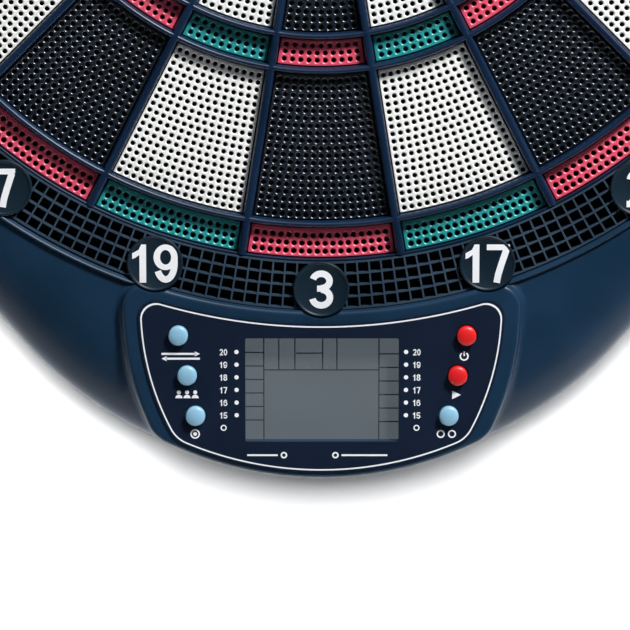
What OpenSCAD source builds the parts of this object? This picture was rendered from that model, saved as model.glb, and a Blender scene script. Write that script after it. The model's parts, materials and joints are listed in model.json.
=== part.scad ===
// Electronic dartboard: a soft-tip target with sprung segments, a catch ring and a score console,
// in a two-piece plastic case that hangs on a wall.
// Drawn in board space: x to the right, y up, z the height above the wall. stand() turns it upright.

/* [Target] */
// Radius of the outer edge of the double ring
target_r = 197.8; // [196.5:0.1:198]
// Radial width of the double segments
double_w = 11.3; // [10:0.1:12]
// Radius of the outer edge of the triple ring
triple_r = 122.7; // [118:0.1:126]
// Radial width of the triple segments
triple_w = 9.9; // [8:0.1:11]
// Radius of the outer bull
bull_r = 18.7; // [18:0.1:19]
// Radius of the inner bull button
inner_bull_r = 8.2; // [7:0.1:9]
// Width of the radial webs of the spider
web_w = 3.6; // [3:0.1:4]
// Width of the round webs of the spider
ring_w = 2.6; // [2:0.1:3]
// Gap between a segment and the web beside it
play = 0.5; // [0.4:0.05:0.6]
// How far a segment travels when a dart hits it
segment_travel = 0.8; // [0.5:0.1:0.8]

/* [Catch ring] */
// Outer radius of the catch ring
catch_r = 218.1; // [217:0.1:218.3]
// Radius of the circle on which the number discs stand
disc_ring_r = 210; // [209.5:0.1:210.5]
// Radius of a number disc
disc_r = 11; // [10:0.1:11.2]

/* [Housing] */
// Radius of the round part of the case
case_r = 242; // [240:0.5:246]
// Radius of the bottom lobe that holds the console
lobe_r = 156.5; // [156:0.5:158]
// How far the bottom lobe's centre lies below the bull
lobe_drop = 130; // [129.5:0.5:131]
// Wall thickness of the case
wall = 2.5; // [2:0.1:3]
// Width of the rounded shoulder around the front
shoulder_w = 30; // [26:1:34]

/* [Console] */
// Radius of the overlay's top edge, about the bull
overlay_top_r = 224.3; // [223.5:0.1:225]
// Half of the overlay's width
overlay_half_w = 70.4; // [69:0.1:72]
// Height of the overlay's bottom edge, measured down from the bull
overlay_bottom = 281.3; // [280:0.1:281.5]
// Width of the display window
window_w = 60.1; // [58:0.1:62]
// Height of the display window
window_h = 41.2; // [40:0.1:42]
// Radius of a push button
button_r = 3.8; // [3.4:0.1:4]
// Travel of a push button
button_travel = 1.2; // [0.6:0.1:1.2]

/* [Screws] */
// Shaft radius of the case screws
screw_r = 1.4; // [1.2:0.05:1.4]
// Head radius of the case screws
screw_head_r = 2.8; // [2.4:0.1:2.8]
// Radius of the entry hole of a wall keyhole
keyhole_r = 5; // [4.5:0.1:5.5]
// Width of the slot of a wall keyhole
keyhole_slot = 5; // [4:0.1:5]

/* [Hidden] */
$fn = 96;

// clockwise from the top
NUMBERS = [20, 1, 18, 4, 13, 6, 10, 15, 2, 17, 3, 19, 7, 16, 8, 11, 14, 9, 12, 5];
WEDGES = len(NUMBERS);
wedge_angle = 360 / WEDGES;
wedge_nodes = [for (n = NUMBERS) str("segments_", n)];

button_nodes = [
    "button_upper_left", "button_middle_left", "button_lower_left",
    "button_upper_right", "button_middle_right", "button_lower_right"
];
button_at = [
    [-55.8, -227.5], [-52.4, -243.4], [-49.2, -259.5],
    [56.8, -227.6], [53.4, -243.5], [50, -259.5]
];
button_colours = ["lightskyblue", "lightskyblue", "lightskyblue", "crimson", "crimson", "lightskyblue"];

// heights above the wall, from the back to the front
pad_h = 1.5;
rear_skin = 2.4;
rear_top = 8;
plate_base = 11.5;
plate_t = 3;
film_t = 0.2;
film_base = plate_base + plate_t;
rubber_base = film_base + 3 * film_t;
rubber_t = 1.5;
foot_base = rubber_base + rubber_t + segment_travel + 0.3;
foot_t = 2.3;
spider_base = foot_base + foot_t + 0.1;
flange_t = 2.3;
floor_base = spider_base + flange_t;
floor_t = 2;
segment_top = 31.5;
spider_top = 35.5;
catch_top = 35;
disc_base = 34.6;
disc_top = 36.6;
shoulder_top = 35;
shoulder_low = 20;
lip_top = 36.4;
mesa_base = 20.6;
mesa_top = 38.9;
overlay_t = 0.5;
lens_top = 34.4;
lens_t = 1.2;
lens_gap = 0.05;
glass_t = 2.6;
well_wall = 1.5;
circuit_t = 1.6;
circuit_top = 26;
circuit_base = circuit_top - circuit_t;
mat_t = 1;
mat_dome_h = 1.4;
mat_dome_r = 2.6;
mat_pad_r = 5;

// radii of the target
foot_rim = 1.2;
films_r = 199;
plate_r = 207;
single_r = target_r - double_w - ring_w - 2 * play;
inner_single_r = triple_r - triple_w - ring_w - 2 * play;
bull_ring_r = bull_r + play;
bull_gap = 1;
outer_web_r = target_r + play;
outer_web_w = 0.8;
outer_web_top = disc_base - 0.3;
spider_flange_r = 207;
catch_inner_r = 199.3;
catch_rows = 4;
catch_wall = 0.8;
catch_flange_r = 224.3;
catch_screw_hole = 9;
spacer_r = 3.2;
disc_seat_gap = 0.2;
opening_r = catch_r + 0.4;
lip_w = 2.2;

// places of the fasteners
plate_screw_r = 203.4;
plate_screw_angles = [for (i = [0:9]) i * 36];
catch_screw_r = 221.4;
catch_screw_angles = [for (i = [0:9]) i * 36 + wedge_angle / 2];
rear_screw_r = 229.5;
rear_screw_at = concat(
    [for (a = [-30:30:210]) rear_screw_r * [cos(a), sin(a)]],
    [[-104, -208], [104, -208], [-62, -264], [62, -264]]
);
circuit_screw_at = [[-42, -226], [42, -226], [-42, -269.5], [42, -269.5]];
keyhole_at = [[-120, 165], [120, 165]];
keyhole_run = 10;
pad_at = [[-190, 60], [190, 60], [-95, -170], [95, -170]];
pad_r = 8;

// battery bay, speaker and power socket
bay_low = [-70, -257];
bay_size = [58, 46];
bay_wall = 1.8;
bay_top = 20.4;
cell_r = 7.15;
cell_l = 49.2;
cell_pitch = 15.1;
door_gap = 0.5;
door_t = 2.2;
door_lap = 3;
door_edge = 1.1;
speaker_at = [46, -236];
speaker_r = 25;
speaker_t = 13;
socket_angle = -45;
socket_h = 14.5;
socket_r = 4;
socket_gap = 1.3;
socket_back_r = lobe_r - wall - socket_gap - 12;

// console outline
side_arc_r = 105;
side_arc_y = -217;
bottom_arc_r = 134.9;
top_corner_r = 6;
bottom_corner_r = 12;
window_at = [0.35, -249.4];

// ---------- outlines ----------

function polar(r, a) = r * [cos(a), sin(a)];

// points of an arc, both ends included
function arc(c, r, a0, a1, n) = [for (i = [0:n]) c + polar(r, a0 + (a1 - a0) * i / n)];

// where two circles meet, left of the way from the first centre to the second
function meet(c1, r1, c2, r2) =
    let (d = norm(c2 - c1), u = (c2 - c1) / d, a = (r1 * r1 - r2 * r2 + d * d) / (2 * d))
    c1 + a * u + sqrt(r1 * r1 - a * a) * [-u[1], u[0]];

function heading(v) = atan2(v[1], v[0]);

// right half of the console outline, grown by separate amounts at the top, the sides and the bottom
function console_half(top, side, bottom) =
    let (
        r_top = overlay_top_r - top,
        r_side = side_arc_r + side,
        r_low = bottom_arc_r + bottom,
        f_top = top_corner_r + min(top, side) / 2,
        f_low = bottom_corner_r + min(side, bottom) / 2,
        c_top = [0, 0],
        c_side = [overlay_half_w - side_arc_r, side_arc_y],
        c_low = [0, bottom_arc_r - overlay_bottom],
        c1 = meet(c_top, r_top + f_top, c_side, r_side - f_top),
        c2 = meet(c_low, r_low - f_low, c_side, r_side - f_low),
        a_top = heading(c1),
        a_side = heading(c1 - c_side),
        b_side = heading(c2 - c_side),
        b_low = heading(c2 - c_low)
    )
    concat(
        arc(c_top, r_top, -90, a_top, 8),
        arc(c1, f_top, a_top + 180, a_side, 6),
        arc(c_side, r_side, a_side, b_side, 8),
        arc(c2, f_low, b_side, b_low, 6),
        arc(c_low, r_low, b_low, -90, 10)
    );

module console_outline(top, side, bottom) {
    half = console_half(top, side, bottom);
    last = len(half) - 1;
    polygon(concat(half, [for (k = [last - 1:-1:1]) [-half[k][0], half[k][1]]]));
}

// the case seen from the front: a circle and a smaller lobe below it, joined by their common tangents
tangent_y = -(case_r - lobe_r) / lobe_drop;
tangent_x = sqrt(1 - tangent_y * tangent_y);
tangent_l = sqrt(lobe_drop * lobe_drop - (case_r - lobe_r) * (case_r - lobe_r));

tangent_turn = atan2(tangent_y, tangent_x);
side_dip = 0.5;
side_band = 38;

// a solid with the case outline whose edge follows rim, a list of [inset from the outline, height];
// its straight sides follow side_rim
module case_solid(rim, side_rim, low, high) {
    case_discs(rim, low, high);
    for (side = [0, 1])
        mirror([side, 0, 0])
            rotate([0, 0, tangent_turn])
                rotate([90, 0, 0])
                    linear_extrude(tangent_l)
                        case_profile(case_r - side_dip, side_band, side_rim, low, high);
}

// only the round part and the lobe, without the straight sides
module case_discs(rim, low, high) {
    rotate_extrude($fn = 192)
        case_profile(case_r, case_r, rim, low, high);
    translate([0, -lobe_drop, 0])
        rotate_extrude($fn = 192)
            case_profile(lobe_r, lobe_r, rim, low, high);
}

module case_profile(r, depth, rim, low, high) {
    edge = [for (p = rim) [r - p[0], p[1]]];
    polygon(concat([[r - depth, low]], edge, [[r - depth, high]]));
}

// rim of the front housing: a straight edge, then a shoulder that is a quarter of an ellipse
function shoulder(low, turns) = concat(
    [[0, rear_top]],
    [for (a = turns) [shoulder_w * (1 - sin(a)), low + (shoulder_top - low) * cos(a)]]
);
shoulder_rim = shoulder(shoulder_low, [90:-10:0]);
side_shoulder_rim = shoulder(shoulder_low - 0.5, concat([90], [for (a = [85:-10:5]) a], [0]));
hollow_rim = [
    [wall, rear_top], [wall, shoulder_low - 2.5], [wall + 3.5, shoulder_low + 5],
    [wall + 11.5, shoulder_low + 10], [shoulder_w - 4, shoulder_top - wall]
];

module stand() {
    rotate([90, 0, 0]) children();
}

module ring(r_out, r_in, h) {
    difference() {
        cylinder(r = r_out, h = h, $fn = 192);
        translate([0, 0, -1]) cylinder(r = r_in, h = h + 2, $fn = 192);
    }
}

module tube(r_out, r_in, h) {
    difference() {
        cylinder(r = r_out, h = h);
        translate([0, 0, -1]) cylinder(r = r_in, h = h + 2);
    }
}

// ---------- target ----------

// flat sector between two radii, kept side away from both wedge lines
module sector(r_in, r_out, side) {
    half = wedge_angle / 2;
    reach = r_out * 1.2;
    intersection() {
        difference() {
            circle(r_out, $fn = 192);
            circle(r_in, $fn = 192);
        }
        translate([0, side / sin(half)])
            polygon([[0, 0], [reach * tan(half), reach], [-reach * tan(half), reach]]);
    }
}

// one plain target segment: the face block and the wider foot that the spider holds back
module segment(r_in, r_out) {
    side = web_w / 2 + play;
    translate([0, 0, foot_base])
        linear_extrude(segment_top - foot_base)
            sector(r_in, r_out, side);
    translate([0, 0, foot_base])
        linear_extrude(foot_t)
            sector(r_in - foot_rim, r_out + foot_rim, side - foot_rim);
}

inner_tip_r = 26;

module wedge_segments(i) {
    dark = i % 2 == 0;
    rotate([0, 0, -wedge_angle * i]) {
        color(dark ? "crimson" : "teal") {
            segment(target_r - double_w, target_r);
            segment(triple_r - triple_w, triple_r);
        }
        color(dark ? "#181a20" : "ivory") {
            segment(triple_r + ring_w + 2 * play, single_r);
            segment(inner_tip_r, inner_single_r);
        }
    }
}

module outer_bull() {
    color("teal")
        translate([0, 0, foot_base])
            difference() {
                union() {
                    cylinder(r = bull_r, h = segment_top - foot_base);
                    cylinder(r = bull_r + foot_rim, h = foot_t);
                }
                translate([0, 0, -1])
                    cylinder(r = inner_bull_r + bull_gap, h = segment_top);
            }
}

module inner_bull() {
    color("crimson")
        translate([0, 0, foot_base])
            cylinder(r = inner_bull_r, h = segment_top - foot_base);
}

module spider() {
    web_h = spider_top - spider_base;
    color("midnightblue")
        translate([0, 0, spider_base]) {
            for (i = [0:WEDGES - 1])
                rotate([0, 0, wedge_angle * (i + 0.5)])
                    translate([bull_ring_r + ring_w / 2, -web_w / 2, 0])
                        cube([outer_web_r - bull_ring_r - ring_w / 2 + 0.5, web_w, web_h]);
            ring(bull_ring_r + ring_w, bull_ring_r, web_h);
            ring(inner_single_r + play + ring_w, inner_single_r + play, web_h);
            ring(triple_r + play + ring_w, triple_r + play, web_h);
            ring(single_r + play + ring_w, single_r + play, web_h);
            ring(outer_web_r + outer_web_w, outer_web_r, outer_web_top - spider_base);
            spider_flange();
        }
}

// flange that the backing plate is screwed to, with a spacer for each screw
module spider_flange() {
    spacer_l = spider_base - film_base;
    difference() {
        union() {
            ring(spider_flange_r, outer_web_r, flange_t);
            for (a = plate_screw_angles)
                rotate([0, 0, a])
                    translate([plate_screw_r, 0, -spacer_l])
                        cylinder(r = spacer_r, h = spacer_l + 1);
        }
        for (a = plate_screw_angles)
            rotate([0, 0, a])
                translate([plate_screw_r, 0, -spacer_l - 1])
                    cylinder(r = screw_r + 0.2, h = spacer_l + flange_t + 2);
    }
}

// ---------- catch ring ----------

module catch_ring() {
    pitch = (catch_r - catch_inner_r - catch_wall) / catch_rows;
    rooted = floor_base + floor_t / 2;
    pillar_r = disc_ring_r - catch_inner_r - 0.3;
    color("#1a222c")
        difference() {
            union() {
                translate([0, 0, floor_base])
                    ring(catch_flange_r, catch_inner_r, floor_t);
                for (i = [0:catch_rows])
                    translate([0, 0, rooted])
                        ring(
                            catch_inner_r + i * pitch + catch_wall,
                            catch_inner_r + i * pitch,
                            catch_top - rooted
                        );
                for (i = [0:WEDGES - 1])
                    rotate([0, 0, wedge_angle * i])
                        translate([disc_ring_r, 0, rooted])
                            cylinder(r = pillar_r, h = catch_top - rooted);
            }
            for (i = [0:WEDGES - 1])
                rotate([0, 0, wedge_angle * i])
                    translate([disc_ring_r, 0, disc_base])
                        cylinder(r = disc_r + disc_seat_gap, h = catch_top);
            for (a = plate_screw_angles)
                rotate([0, 0, a])
                    translate([plate_screw_r, 0, floor_base - 1])
                        cylinder(r = screw_r + 0.1, h = catch_screw_hole);
            for (a = catch_screw_angles)
                rotate([0, 0, a])
                    translate([catch_screw_r, 0, floor_base - 1])
                        cylinder(r = screw_r + 0.2, h = floor_t + 2);
        }
}

module number_disc() {
    rim = 0.7;
    rotate_extrude()
        polygon([
            [0, 0], [disc_r, 0], [disc_r, disc_top - disc_base - 0.3],
            [disc_r - 0.3, disc_top - disc_base], [disc_r - rim, disc_top - disc_base],
            [disc_r - rim - 0.4, disc_top - disc_base - 0.5], [0, disc_top - disc_base - 0.5]
        ]);
}

module number_discs() {
    color("#141c2a")
        for (i = [0:WEDGES - 1])
            rotate([0, 0, wedge_angle * i])
                translate([disc_ring_r, 0, disc_base])
                    number_disc();
}

// ---------- front housing ----------

module front_housing() {
    skin_top = mesa_top - wall;
    color("#1c2f4a")
        difference() {
            union() {
                difference() {
                    case_solid(shoulder_rim, side_shoulder_rim, rear_top, shoulder_top);
                    translate([0, 0, -0.01])
                        case_discs(hollow_rim, rear_top, shoulder_top - wall);
                    console_cavity(skin_top);
                }
                lip();
                console_mesa(skin_top);
                housing_bosses();
            }
            target_opening();
            window_block(0, lens_top - 1, mesa_top + 1);
            for (p = button_at)
                translate([p[0], p[1], skin_top - 3])
                    cylinder(r = button_r + 0.35, h = wall + 4);
            housing_pilots();
            socket_frame()
                translate([lobe_r - wall - 1, 0, 0])
                    rotate([0, 90, 0])
                        cylinder(r = socket_r + 0.2, h = wall + 3);
        }
}

module target_opening() {
    translate([0, 0, floor_base]) {
        cylinder(r = opening_r, h = 30, $fn = 192);
        for (i = [0:WEDGES - 1])
            rotate([0, 0, wedge_angle * i])
                translate([disc_ring_r, 0, 0])
                    cylinder(r = disc_r + 0.4, h = 30);
    }
}

// raised edge around the catch ring
module lip() {
    lip_base = shoulder_top - wall / 2;
    translate([0, 0, lip_base])
        ring(opening_r + lip_w, opening_r - 0.1, lip_top - lip_base);
}

module console_cavity(skin_top) {
    translate([0, 0, rear_top - 1])
        linear_extrude(skin_top - rear_top + 1)
            console_outline(3, 5, 1);
}

// the raised flat that carries the overlay, with a well around the display window
module console_mesa(skin_top) {
    difference() {
        translate([0, 0, mesa_base])
            linear_extrude(mesa_top - mesa_base)
                console_outline(6, 7.5, 3.5);
        console_cavity(skin_top);
        cylinder(r = opening_r + 0.5, h = mesa_top + 1, $fn = 192);
        cylinder(r = catch_flange_r + 0.3, h = floor_base + floor_t + 0.1, $fn = 192);
    }
    difference() {
        window_block(2 * well_wall, lens_top + lens_gap, skin_top + 0.1);
        window_block(0, lens_top - 1, skin_top + 1);
    }
}

module housing_bosses() {
    boss_r = 4;
    catch_boss_r = 2.8;
    circuit_boss_r = 3;
    catch_boss_base = floor_base + floor_t;
    catch_boss_top = shoulder_top - wall + 0.7;
    for (p = rear_screw_at)
        translate([p[0], p[1], rear_top])
            cylinder(r = boss_r, h = skin_over(p) + wall / 2 - rear_top);
    for (a = catch_screw_angles)
        rotate([0, 0, a])
            translate([catch_screw_r, 0, catch_boss_base])
                cylinder(r = catch_boss_r, h = catch_boss_top - catch_boss_base);
    for (p = circuit_screw_at)
        translate([p[0], p[1], circuit_top])
            cylinder(r = circuit_boss_r, h = mesa_top - wall - circuit_top + 0.5);
}

// how far a point lies inside the case outline
function inset_of(p) =
    let (
        q = [abs(p[0]), p[1]],
        along = q * [tangent_y, -tangent_x]
    )
    along < 0 ? case_r - norm(q)
        : along > tangent_l ? lobe_r - norm(q + [0, lobe_drop])
        : case_r - q * [tangent_x, tangent_y];

// height of the inside of the front skin above a point
function skin_over(p) =
    let (run = 1 - min(1, (inset_of(p) - wall) / shoulder_w))
    abs(p[0]) < overlay_half_w && p[1] < side_arc_y
        ? mesa_top - wall
        : shoulder_low - wall + (shoulder_top - shoulder_low) * sqrt(1 - run * run);

module housing_pilots() {
    pilot_l = 12;
    for (p = rear_screw_at)
        translate([p[0], p[1], rear_top - 1])
            cylinder(r = screw_r + 0.1, h = pilot_l + 1);
    for (a = catch_screw_angles)
        rotate([0, 0, a])
            translate([catch_screw_r, 0, floor_base + floor_t - 0.5])
                cylinder(r = screw_r + 0.1, h = 5.5);
    for (p = circuit_screw_at)
        translate([p[0], p[1], circuit_top - 1])
            cylinder(r = screw_r + 0.1, h = 8);
}

// ---------- console ----------

module panel_overlay() {
    color("#10151f")
        translate([0, 0, mesa_top])
            difference() {
                linear_extrude(overlay_t) console_outline(1.2, 1.2, 1.2);
                window_block(0, -1, overlay_t + 1);
                for (p = button_at)
                    translate([p[0], p[1], -1])
                        cylinder(r = button_r + 0.6, h = 3);
            }
}

module window_block(grow, low, high) {
    translate([window_at[0], window_at[1], (low + high) / 2])
        cube([window_w + grow, window_h + grow, high - low], center = true);
}

lens_base = lens_top - lens_t;
glass_base = lens_base - 0.2 - glass_t;

module display_lens() {
    color("gainsboro", 0.4) window_block(6, lens_base, lens_top);
}

module display_glass() {
    color("#7a8388") window_block(5, glass_base, lens_base - 0.2);
}

module display_frame() {
    color("dimgray")
        difference() {
            window_block(12, circuit_top, lens_base);
            window_block(5.3, circuit_top - 1, lens_base + 1);
        }
}

module contact_strips() {
    strip = [56, 2, glass_base - circuit_top];
    color("lightpink")
        for (side = [-1, 1])
            translate([window_at[0], window_at[1] + side * (window_h / 2 + 0.8), circuit_top])
                translate([-strip[0] / 2, -strip[1] / 2, 0])
                    cube(strip);
}

// domed push button held behind the console skin by its flange
module button(i) {
    flange_top = mesa_top - wall - 0.1;
    crown_base = 41.2;
    crown = 1.2;
    stem_base = circuit_top + mat_dome_h + button_travel + 0.4;
    color(button_colours[i])
        translate([button_at[i][0], button_at[i][1], 0])
            rotate_extrude()
                polygon(concat(
                    [[0, stem_base], [2, stem_base], [2, flange_top - 1.4]],
                    [[button_r + 1.4, flange_top - 1.4], [button_r + 1.4, flange_top]],
                    [[button_r, flange_top]],
                    [for (a = [0:15:90]) [button_r * cos(a), crown_base + crown * sin(a)]]
                ));
}

module keypad_mat() {
    color("lightgray")
        for (first = [0, 3]) {
            for (k = [0:2])
                translate([button_at[first + k][0], button_at[first + k][1], circuit_top]) {
                    cylinder(r = mat_pad_r, h = mat_t);
                    cylinder(r1 = mat_dome_r + 0.8, r2 = mat_dome_r, h = mat_dome_h, $fn = 48);
                }
            for (k = [0:1])
                mat_bridge(button_at[first + k], button_at[first + k + 1]);
        }
}

module mat_bridge(a, b) {
    translate([a[0], a[1], circuit_top])
        rotate([0, 0, heading(b - a)])
            translate([0, -mat_pad_r / 2, 0])
                cube([norm(b - a), mat_pad_r, mat_t]);
}

module main_board() {
    color("darkgreen")
        difference() {
            translate([0, 0, circuit_base])
                linear_extrude(circuit_t)
                    polygon([
                        [-63, -222.5], [63, -222.5], [63, -240],
                        [50, -272], [-50, -272], [-63, -240]
                    ]);
            for (p = circuit_screw_at)
                translate([p[0], p[1], circuit_base - 1])
                    cylinder(r = screw_r + 0.2, h = circuit_t + 2);
        }
}

module controller_chip() {
    chip = [18, 18, 2];
    color("#202020")
        translate([-chip[0] / 2, -262, circuit_base - chip[2]]) cube(chip);
}

ribbon_x = 3;
ribbon_w = 18;

module ribbon_socket() {
    color("ivory")
        difference() {
            translate([ribbon_x - 12, -231, circuit_base - 4]) cube([24, 6, 4]);
            translate([ribbon_x - ribbon_w / 2 - 0.3, -229, circuit_base - 2.6])
                cube([ribbon_w + 0.6, 5, 0.9]);
        }
}

// screw with a domed head below and a pointed shaft above
module screw(head_h, shaft_l) {
    cylinder(r = screw_head_r, h = head_h);
    cylinder(r = screw_r, h = head_h + shaft_l);
    translate([0, 0, head_h + shaft_l])
        rotate_extrude() polygon([[0, 0], [screw_r, 0], [0, screw_r]]);
}

module cross_slot(depth) {
    for (a = [0, 90])
        rotate([0, 0, a])
            translate([-1.7, -0.45, -1])
                cube([3.4, 0.9, depth + 1]);
}

module slotted_screw(head_h, shaft_l) {
    difference() {
        screw(head_h, shaft_l);
        cross_slot(0.9);
    }
}

module board_screws() {
    color("silver")
        for (p = circuit_screw_at)
            translate([p[0], p[1], circuit_base - 1.6])
                slotted_screw(1.6, 5.5);
}

// ---------- switch layers behind the target ----------

module rubber_sheet() {
    color("#303030")
        translate([0, 0, rubber_base])
            cylinder(r = films_r, h = rubber_t, $fn = 192);
}

module membrane_top() {
    color("gold", 0.6)
        translate([0, 0, film_base + 2 * film_t])
            cylinder(r = films_r, h = film_t, $fn = 192);
}

// the spacer film has a window under each segment, where the two printed films can touch
module membrane_spacer() {
    window_r = 3;
    color("white", 0.6)
        translate([0, 0, film_base + film_t])
            difference() {
                cylinder(r = films_r, h = film_t, $fn = 192);
                for (r = [target_r - double_w / 2, 154, triple_r - triple_w / 2, 68])
                    for (i = [0:WEDGES - 1])
                        rotate([0, 0, wedge_angle * i])
                            translate([r, 0, -1])
                                cylinder(r = window_r, h = 3, $fn = 24);
                translate([0, 0, -1]) cylinder(r = window_r, h = 3, $fn = 24);
                translate([13.5, 0, -1]) cylinder(r = window_r, h = 3, $fn = 24);
            }
}

module membrane_bottom() {
    color("gold", 0.6)
        translate([0, 0, film_base])
            cylinder(r = films_r, h = film_t, $fn = 192);
}

// flat tail from the films to the socket on the circuit board
module membrane_ribbon() {
    t = 0.3;
    mouth_h = 22;
    path = [
        [-198.5, film_base + 0.02], [-212, film_base + 0.02],
        [-224.5, mouth_h], [-228.8, mouth_h]
    ];
    color("orange")
        translate([ribbon_x - ribbon_w / 2, 0, 0])
            rotate([90, 0, 90])
                linear_extrude(ribbon_w)
                    difference() {
                        polygon(concat(path, [for (k = [3:-1:0]) path[k] + [0.1, t]]));
                        translate([-films_r, film_base]) square([0.6, 2]);
                    }
}

module backing_plate() {
    color("#6b5a45")
        translate([0, 0, plate_base])
            difference() {
                cylinder(r = plate_r, h = plate_t, $fn = 192);
                for (a = plate_screw_angles)
                    rotate([0, 0, a])
                        translate([plate_screw_r, 0, -1])
                            cylinder(r = screw_r + 0.2, h = plate_t + 2);
            }
}

module backing_screws() {
    head_h = 1.8;
    color("silver")
        for (a = plate_screw_angles)
            rotate([0, 0, a])
                translate([plate_screw_r, 0, plate_base - head_h])
                    screw(head_h, floor_base + 6.5 - plate_base);
}

module catch_ring_screws() {
    head_h = 1.8;
    color("silver")
        for (a = catch_screw_angles)
            rotate([0, 0, a])
                translate([catch_screw_r, 0, floor_base - head_h])
                    screw(head_h, floor_t + 3);
}

// ---------- back ----------

rear_rim = [[5, pad_h], [2.2, pad_h + 1], [0.6, pad_h + 3], [0, pad_h + 5.5], [0, rear_top]];
rear_rim_inside = [[7.4, pad_h + rear_skin], [3.6, pad_h + 4.5], [wall, rear_top + 0.1]];
land_r = 45;

module rear_cover() {
    color("#20242c")
        difference() {
            union() {
                difference() {
                    case_solid(rear_rim, rear_rim, pad_h, rear_top);
                    case_solid(rear_rim_inside, rear_rim_inside, pad_h + rear_skin, rear_top + 0.1);
                }
                cylinder(r = land_r, h = pad_h + 1);
                rear_ribs();
                rear_bosses();
                battery_bay();
                for (p = keyhole_at)
                    translate([p[0], p[1], pad_h + 1])
                        keyhole_shape(3, rear_skin + 1);
            }
            rear_holes();
            battery_bay_hollow();
        }
}

module rear_ribs() {
    rib_t = 1.8;
    rib_rings = [60, 120, 185];
    rib_l = rib_rings[2] - rib_rings[0];
    rib_base = pad_h + 1;
    rib_h = plate_base - rib_base;
    for (r = rib_rings)
        translate([0, 0, rib_base])
            ring(r + rib_t / 2, r - rib_t / 2, rib_h);
    for (i = [0:11])
        rotate([0, 0, i * 30 + 15])
            translate([rib_rings[0], -rib_t / 2, rib_base])
                cube([rib_l, rib_t, rib_h]);
}

module rear_bosses() {
    rear_boss_r = 4.6;
    for (p = rear_screw_at)
        translate([p[0], p[1], pad_h + 1])
            cylinder(r = rear_boss_r, h = rear_top - pad_h - 1);
    translate([speaker_at[0], speaker_at[1], pad_h + 1])
        tube(speaker_r + 2, speaker_r + 0.3, rear_top - pad_h);
}

module keyhole_shape(grow, h) {
    cylinder(r = keyhole_r + grow, h = h);
    translate([0, keyhole_run, 0]) cylinder(r = keyhole_slot / 2 + grow, h = h);
    translate([-keyhole_slot / 2 - grow, 0, 0]) cube([keyhole_slot + 2 * grow, keyhole_run, h]);
}

module rear_holes() {
    for (p = rear_screw_at)
        translate([p[0], p[1], pad_h - 1]) {
            cylinder(r = screw_head_r + 0.4, h = 3.6);
            cylinder(r = screw_r + 0.2, h = 12);
        }
    for (p = keyhole_at)
        translate([p[0], p[1], pad_h - 1])
            keyhole_shape(0, 12);
    for (p = keyhole_at)
        translate([p[0], p[1], pad_h + rear_skin])
            cylinder(r = keyhole_r + 1, h = 12);
    translate([speaker_at[0], speaker_at[1], pad_h - 1])
        speaker_grille();
    for (p = pad_at)
        translate([p[0], p[1], pad_h - 1])
            cylinder(r = pad_r + 0.3, h = 1.6);
}

// round holes in three rings about one in the middle
module speaker_grille() {
    grille_r = 1.6;
    grille_pitch = 5.6;
    depth = 5;
    cylinder(r = grille_r, h = depth);
    for (n = [1:3])
        for (k = [0:6 * n - 1])
            rotate([0, 0, k * 60 / n])
                translate([grille_pitch * n, 0, 0])
                    cylinder(r = grille_r, h = depth, $fn = 24);
}

// pocket for three cells, open to the back
module battery_bay() {
    translate([bay_low[0] - bay_wall, bay_low[1] - bay_wall, pad_h + 1])
        cube([bay_size[0] + 2 * bay_wall, bay_size[1] + 2 * bay_wall, bay_top - pad_h - 1]);
}

module battery_bay_hollow() {
    translate([bay_low[0], bay_low[1], pad_h - 1])
        cube([bay_size[0], bay_size[1], bay_top - bay_wall - pad_h + 1]);
    translate([bay_low[0] - door_lap, bay_low[1] - door_lap, pad_h - 1])
        cube([bay_size[0] + 2 * door_lap, bay_size[1] + 2 * door_lap, door_t + 1.1]);
}

door_low = bay_low - [door_lap - door_gap, door_lap - door_gap];
door_size = bay_size + 2 * [door_lap - door_gap, door_lap - door_gap];
door_hinge_y = door_low[1] + door_size[1] - door_edge;

module battery_door() {
    color("#262b34")
        translate([0, 0, pad_h])
            difference() {
                union() {
                    translate([door_low[0], door_low[1], 0])
                        cube([door_size[0], door_size[1] - door_edge, door_t]);
                    translate([door_low[0], door_hinge_y, door_edge])
                        rotate([0, 90, 0]) cylinder(r = door_edge, h = door_size[0], $fn = 48);
                }
                for (k = [0:4])
                    translate([door_low[0] + door_size[0] / 2 - 12, door_low[1] + 4 + k * 2.4, -1])
                        cube([24, 1.1, 1.5]);
            }
}

module rear_screws() {
    head_h = 2;
    color("silver")
        for (p = rear_screw_at)
            translate([p[0], p[1], pad_h + 2.6 - head_h])
                slotted_screw(head_h, 14);
}

module wall_pads() {
    color("#111111")
        for (p = pad_at)
            translate([p[0], p[1], 0])
                cylinder(r = pad_r, h = pad_h + 0.6);
}

module speaker() {
    color("#303236")
        translate([speaker_at[0], speaker_at[1], pad_h + rear_skin]) {
            cylinder(r = speaker_r, h = 2);
            rotate_extrude() polygon([[0, 2], [speaker_r - 1, 2], [14, 8], [14, speaker_t], [0, speaker_t]]);
        }
}

module socket_frame() {
    translate([0, -lobe_drop, socket_h])
        rotate([0, 0, socket_angle])
            children();
}

// barrel inlet through the side wall, low on the right
module power_socket() {
    block = [12, 10, 10];
    block_end = lobe_r - wall - socket_gap;
    face = lobe_r - 0.3;
    pin_l = 9;
    color("#1a1a1a")
        socket_frame() {
            difference() {
                union() {
                    translate([block_end - block[0], -block[1] / 2, -block[2] / 2]) cube(block);
                    translate([block_end - 1, 0, 0])
                        rotate([0, 90, 0]) cylinder(r = socket_r, h = face - block_end + 1);
                }
                translate([face - pin_l, 0, 0])
                    rotate([0, 90, 0]) cylinder(r = 2.75, h = pin_l + 3);
            }
            translate([face - pin_l - 1, 0, 0])
                rotate([0, 90, 0]) cylinder(r = 1, h = pin_l);
        }
}

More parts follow.
